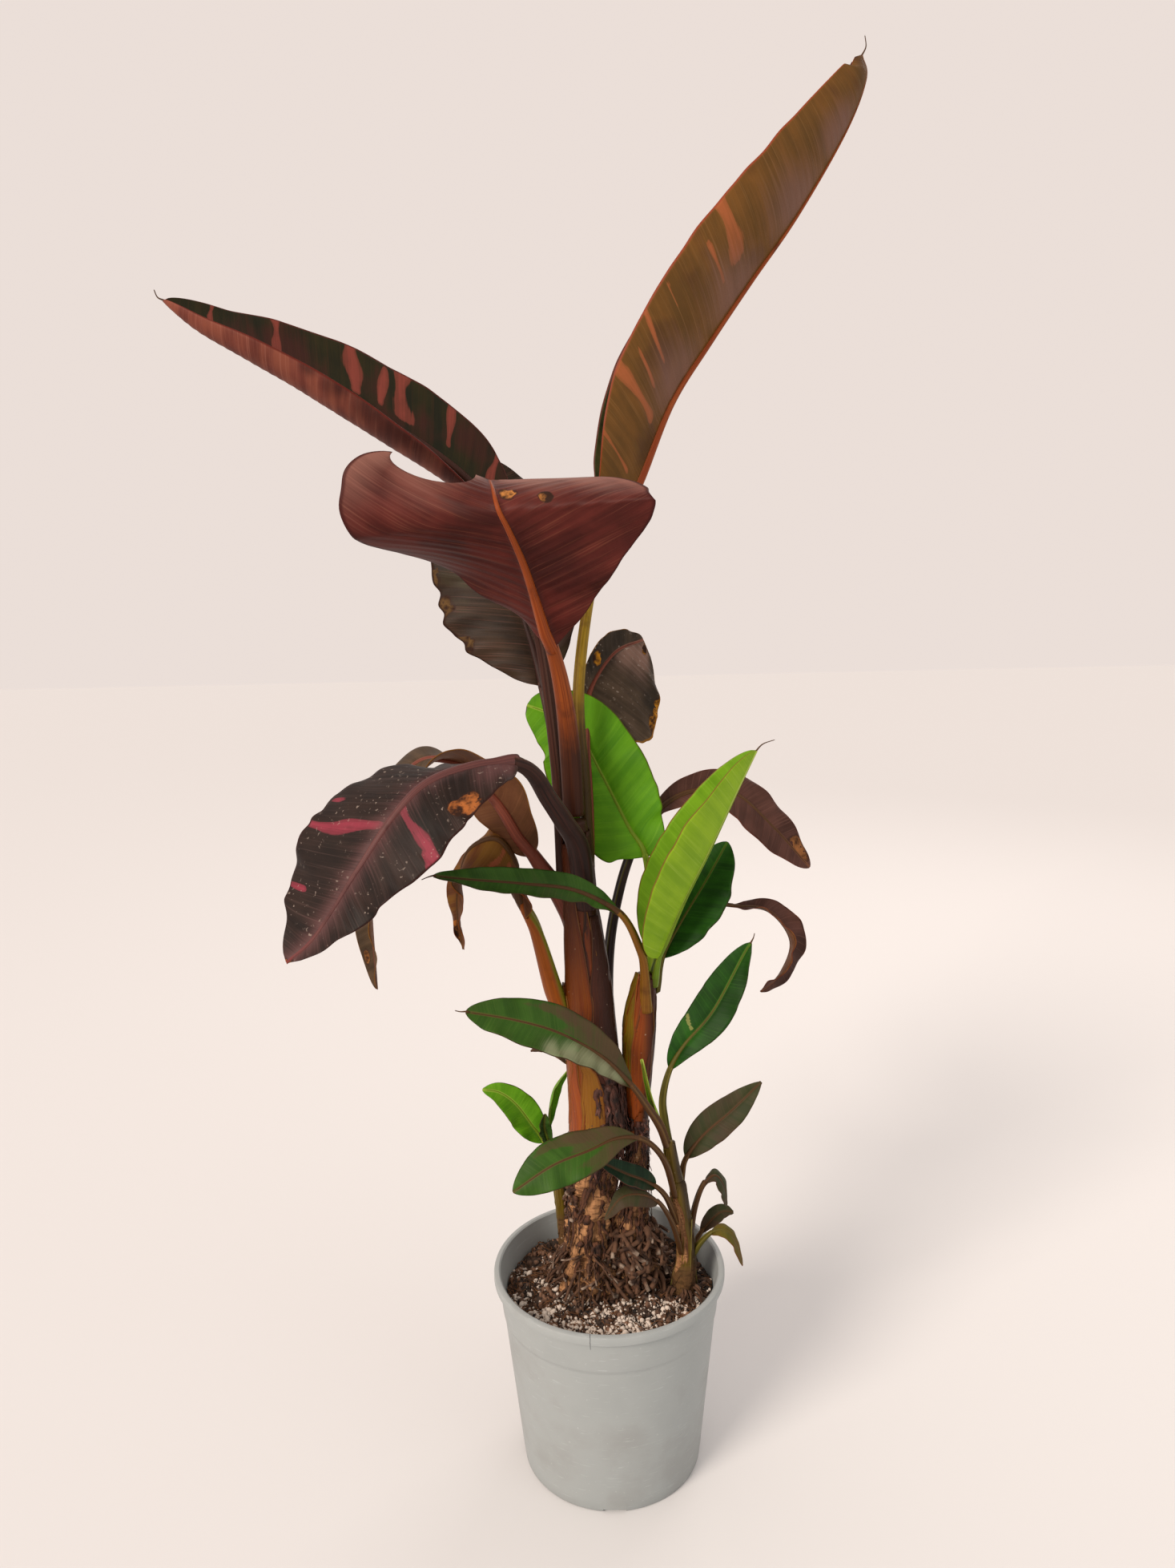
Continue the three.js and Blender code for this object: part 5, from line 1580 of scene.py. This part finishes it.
grow("leaf_small_behind", "maroon", top="dry_top", under="dry_under", stem="brown",
     route=[(-16, 16, 304), (-24, 28, 330), (-38, 38, 345), (-52, 44, 342), (-62, 46, 336)],
     blade=1, stalk=(3, 1.6), half=(10, 10), across=[(0.6, 0.5, 0.5), (0, 0.8, 0.6)],
     lift=[(0, 0), (-10, -10)], curl=[(0, 0)], widest=0.4, fullness=0.7, crisp=0.08)

# %% [markdown]
# The thinner stem carries the greenest leaves: one still folded and standing, a round one
# behind, a dark one and a long one to the left. Young leaves are smooth, so their ripple and
# waves are small.

# %% Leaves of the second stem
grow("second_leaf_upright", "lime", top="lime_top", under="lime_under", stem="green",
     route=[(38, 1, 406), (43, -3, 433), (60, -10, 477), (81, -14, 521), (102, -16, 567),
            (116, -16, 596)],
     blade=1, stalk=(5, 2.5), half=(38, 42), across=[(0.24, -0.95, -0.18)],
     lift=[(40, 50), (50, 60), (45, 55)], curl=[(15, 15)], widest=0.4, fullness=0.58,
     waves=(1.0, 4), pitch=5.0, ripple=0.12, thread=[(5, 0, 5), (14, 0, 8)])
grow("second_leaf_round", "green", top="fresh_top", under="fresh_under", stem="green",
     route=[(35, 9, 398), (38, 11, 458), (35, 18, 508), (22, 26, 531), (1, 36, 573),
            (-16, 42, 604), (-36, 46, 618), (-56, 48, 626)],
     blade=2, stalk=(4, 2.5), half=(42, 37),
     across=[(0.94, -0.2, 0.25), (0.85, -0.05, 0.5), (0.4, 0.25, 0.88)],
     lift=[(10, 10), (5, 5)], curl=[(-10, -10)], widest=0.42, fullness=0.47,
     waves=(2.0, 5), pitch=6.0, ripple=0.12)
grow("second_leaf_dark", "deep_green", top="shade_top", under="fresh_under", stem="olive",
     route=[(41, 8, 398), (47, 13, 427), (63, 22, 454), (83, 30, 484), (101, 34, 515)],
     blade=1, stalk=(3.5, 2), half=(22, 27), across=[(0.78, -0.55, -0.3)],
     lift=[(5, 5)], curl=[(0, 0)], widest=0.5, fullness=0.6, waves=(2.5, 5), pitch=5.0)
grow("second_leaf_left", "deep_green", top="deep_top", under="deep_under", stem="tan", rib="brown",
     route=[(33, -4, 388), (32, -10, 425), (28, -15, 445), (13, -28, 477), (-19, -42, 500),
            (-59, -56, 510), (-92, -66, 516), (-119, -72, 521)],
     blade=3, flare=7.5, stalk=(4.8, 2.8), half=(12, 12), across=[(0, 0.8, 0.6)],
     lift=[(-30, 10), (-20, 10)], curl=[(40, 10), (70, 10)], widest=0.5, fullness=0.55,
     waves=(1.5, 6), pitch=5.0, ripple=0.1, thread=[(-4, 0, -1), (-9, 0, -3)])

# %% [markdown]
# The suckers are the same plant in small. Their upper leaves are green towards the tip and
# brown towards the stalk, which is one broad streak on each half. The lowest are narrow and
# brownish.

# %% Leaves of the front sucker
YOUNG = {"ripple": 0.1, "pitch": 4.5}
grow("front_leaf_left_high", "deep_green", top="deep_top", under="deep_under", stem="brown",
     route=[(48, -21, 282), (42, -25, 302), (33, -31, 320), (20, -38, 343), (4, -46, 366),
            (-15, -54, 384), (-39, -62, 400), (-67, -70, 412), (-100, -76, 421)],
     blade=3, stalk=(4, 2.2), half=(19, 19), across=[(0.3, 0.78, 0.5), (0.1, 0.74, 0.66)],
     lift=[(-30, 10), (-15, 10)], curl=[(60, 10), (20, 10)], widest=0.55, fullness=0.55,
     waves=(2.0, 6), thread=[(-4, 0, 0), (-8, 0, 1)],
     # spots of painted light: pale grey-green painted highlights on the rolled left half
     shines=[(0, 0.12, 0.6, 11), (0, 0.22, 0.65, 14), (0, 0.33, 0.7, 16), (0, 0.44, 0.75, 15),
             (0, 0.54, 0.85, 11)],
     streaks=[(0, 0.2, 0.22, 0.0, 1.1), (1, 0.2, 0.3, 0.0, 1.1)], **YOUNG)
grow("front_leaf_right_high", "deep_green", top="shade_top", under="deep_under", stem="olive",
     route=[(49, -15, 282), (46, -11, 300), (45, -8, 318), (51, -4, 340), (63, 0, 359),
            (86, 4, 385), (110, 6, 430), (116, 6, 440)],
     blade=3, stalk=(3.5, 2.2), half=(17, 17), across=[(0.78, -0.48, -0.4)],
     lift=[(10, 10)], curl=[(0, 0)], widest=0.5, fullness=0.65, waves=(1.5, 4),
     streaks=[(0, 0.29, 0.014, 0.12, 0.95)], thread=[(2, 0, 4), (3, 0, 8)], **YOUNG)
grow("front_leaf_right_low", "deep_green", top="murky_top", under="deep_under", stem="brown",
     route=[(58, -8, 226), (60, -6, 250), (64, -2, 263), (79, 2, 281), (102, 5, 300),
            (125, 6, 323)],
     blade=2, stalk=(3, 2), half=(14, 14), across=[(0.65, -0.5, -0.55)],
     lift=[(10, 10)], curl=[(0, 0)], widest=0.42, fullness=0.7, waves=(1.5, 4), **YOUNG)
grow("front_leaf_left_mid", "deep_green", top="deep_top", under="deep_under", stem="brown",
     route=[(54, -16, 236), (47, -28, 269), (38, -36, 289), (25, -46, 304), (7, -58, 311),
            (-14, -70, 308), (-41, -80, 302), (-70, -88, 286)],
     blade=3, stalk=(3.5, 2), half=(18, 18),
     across=[(-0.12, 0.78, 0.61), (-0.35, 0.6, 0.72), (-0.5, 0.45, 0.73)],
     lift=[(0, 0)], curl=[(0, 0)], widest=0.6, fullness=0.65, waves=(2.0, 4),
     streaks=[(0, 0.15, 0.28, 0.0, 1.1), (1, 0.2, 0.34, 0.0, 1.1)], **YOUNG)
grow("front_leaf_left_dark", "deep_green", top="dark_top", under="deep_under", stem="brown",
     route=[(56, -15, 212), (45, -26, 244), (31, -36, 262), (14, -44, 274), (-10, -50, 290)],
     blade=1.6, stalk=(3, 1.8), half=(9, 9), across=[(0.22, 0.72, 0.66)],
     lift=[(10, 10)], curl=[(20, 20)], widest=0.4, fullness=0.65, waves=(1.0, 4), **YOUNG)
grow("front_leaf_left_low", "maroon", top="murky_top", under="wine_under", stem="brown",
     route=[(59, -13, 184), (51, -26, 219), (39, -40, 247), (25, -50, 260), (9, -58, 262),
            (-4, -60, 245)],
     blade=2, stalk=(3, 1.8), half=(10, 10),
     across=[(-0.04, 0.87, 0.49), (-0.33, 0.82, 0.46), (-0.53, 0.79, 0.31)],
     lift=[(-10, -10)], curl=[(-20, -20)], widest=0.4, fullness=0.65, waves=(1.5, 4), **YOUNG)
grow("front_leaf_loop", "maroon", top="murky_top", under="wine_under", stem="brown",
     route=[(65, -2, 182), (70, 0, 215), (78, 2, 237), (88, 4, 244), (96, 6, 232), (98, 6, 214)],
     blade=2, flare=4.5, stalk=(3.6, 2.4), half=(9, 9),
     across=[(0, -0.95, -0.3), (-0.5, -0.85, -0.1)],
     lift=[(0, 0)], curl=[(-20, -20)], widest=0.5, fullness=0.6, waves=(1.0, 4), **YOUNG)
grow("front_leaf_low_right", "young_stem", top="olive_top", under="deep_under", stem="olive",
     route=[(67, -8, 178), (75, -10, 193), (87, -12, 205), (97, -14, 204), (104, -14, 193),
            (109, -12, 172)],
     blade=1.6, stalk=(3, 1.8), half=(8, 8), across=[(0, -0.95, -0.3), (-0.4, -0.9, -0.2)],
     lift=[(0, 0)], curl=[(-20, -20)], widest=0.4, fullness=0.65, waves=(1.0, 4), **YOUNG)
grow("front_leaf_twisted", "maroon", top="murky_top", under="wine_under", stem="brown",
     route=[(65, 0, 174), (77, 10, 189), (93, 17, 202), (105, 19, 201)],
     blade=1, stalk=(2.5, 1.6), half=(7, 7), across=[(0.6, -0.65, -0.45), (0.1, -0.7, -0.7)],
     lift=[(10, 10)], curl=[(20, 20)], widest=0.5, fullness=0.6, waves=(1.0, 4), **YOUNG)
grow("front_leaf_spear", "lime", top="lime_top", under="lime_under", stem="green",
     route=[(46, -20, 290), (41, -21, 305), (34, -22, 328), (28, -24, 358)],
     blade=1, stalk=(2.5, 1.8), half=(4, 4), across=[(0.93, -0.3, 0.2)],
     lift=[(40, 40)], curl=[(60, 60)], widest=0.4, fullness=0.6, waves=(0.3, 4), **YOUNG)

# %% [markdown]
# The sucker behind has only three small leaves, two of them fresh green and one darker.

# %% Leaves of the back sucker
grow("back_leaf_wide", "green", top="fresh_top", under="fresh_under", stem="green",
     route=[(-43, 55, 226), (-53, 52, 250), (-62, 48, 267), (-75, 44, 289), (-88, 40, 302),
            (-102, 36, 307)],
     blade=1, stalk=(3, 1.8), half=(14, 14), across=[(0.84, 0.32, 0.44), (0.7, 0.43, 0.55)],
     # pale: a painted sheen along the midrib
     lift=[(15, 15)], curl=[(0, 0)], widest=0.45, fullness=0.6, waves=(1.5, 4), pale=0.6, **YOUNG)
grow("back_leaf_upright", "green", top="fresh_top", under="fresh_under", stem="green",
     route=[(-42, 58, 228), (-48, 59, 254), (-47, 59, 276), (-43, 59, 295), (-32, 58, 311)],
     blade=1, stalk=(2.5, 1.4), half=(7, 7), across=[(0.52, 0.85, -0.1)],
     lift=[(20, 20)], curl=[(20, 20)], widest=0.6, fullness=0.6, waves=(1.0, 4), **YOUNG)
grow("back_leaf_small", "deep_green", top="deep_top", under="deep_under", stem="green",
     route=[(-42, 53, 229), (-48, 47, 250), (-52, 43, 268), (-51, 41, 281)],
     blade=1, stalk=(2.2, 1.3), half=(6, 6), across=[(0.92, 0.32, 0.2)],
     lift=[(20, 20)], curl=[(20, 20)], widest=0.5, fullness=0.6, waves=(1.0, 4), **YOUNG)

# %% [markdown]
# The two boxes, of the solids and of the finished look, are printed side by side.

# %% Print the boxes and finish
look_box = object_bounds()
sizes = {"cad": [list(map(float, corner)) for corner in cad_box],
         "look": [list(map(float, corner)) for corner in look_box]}
print(sizes)
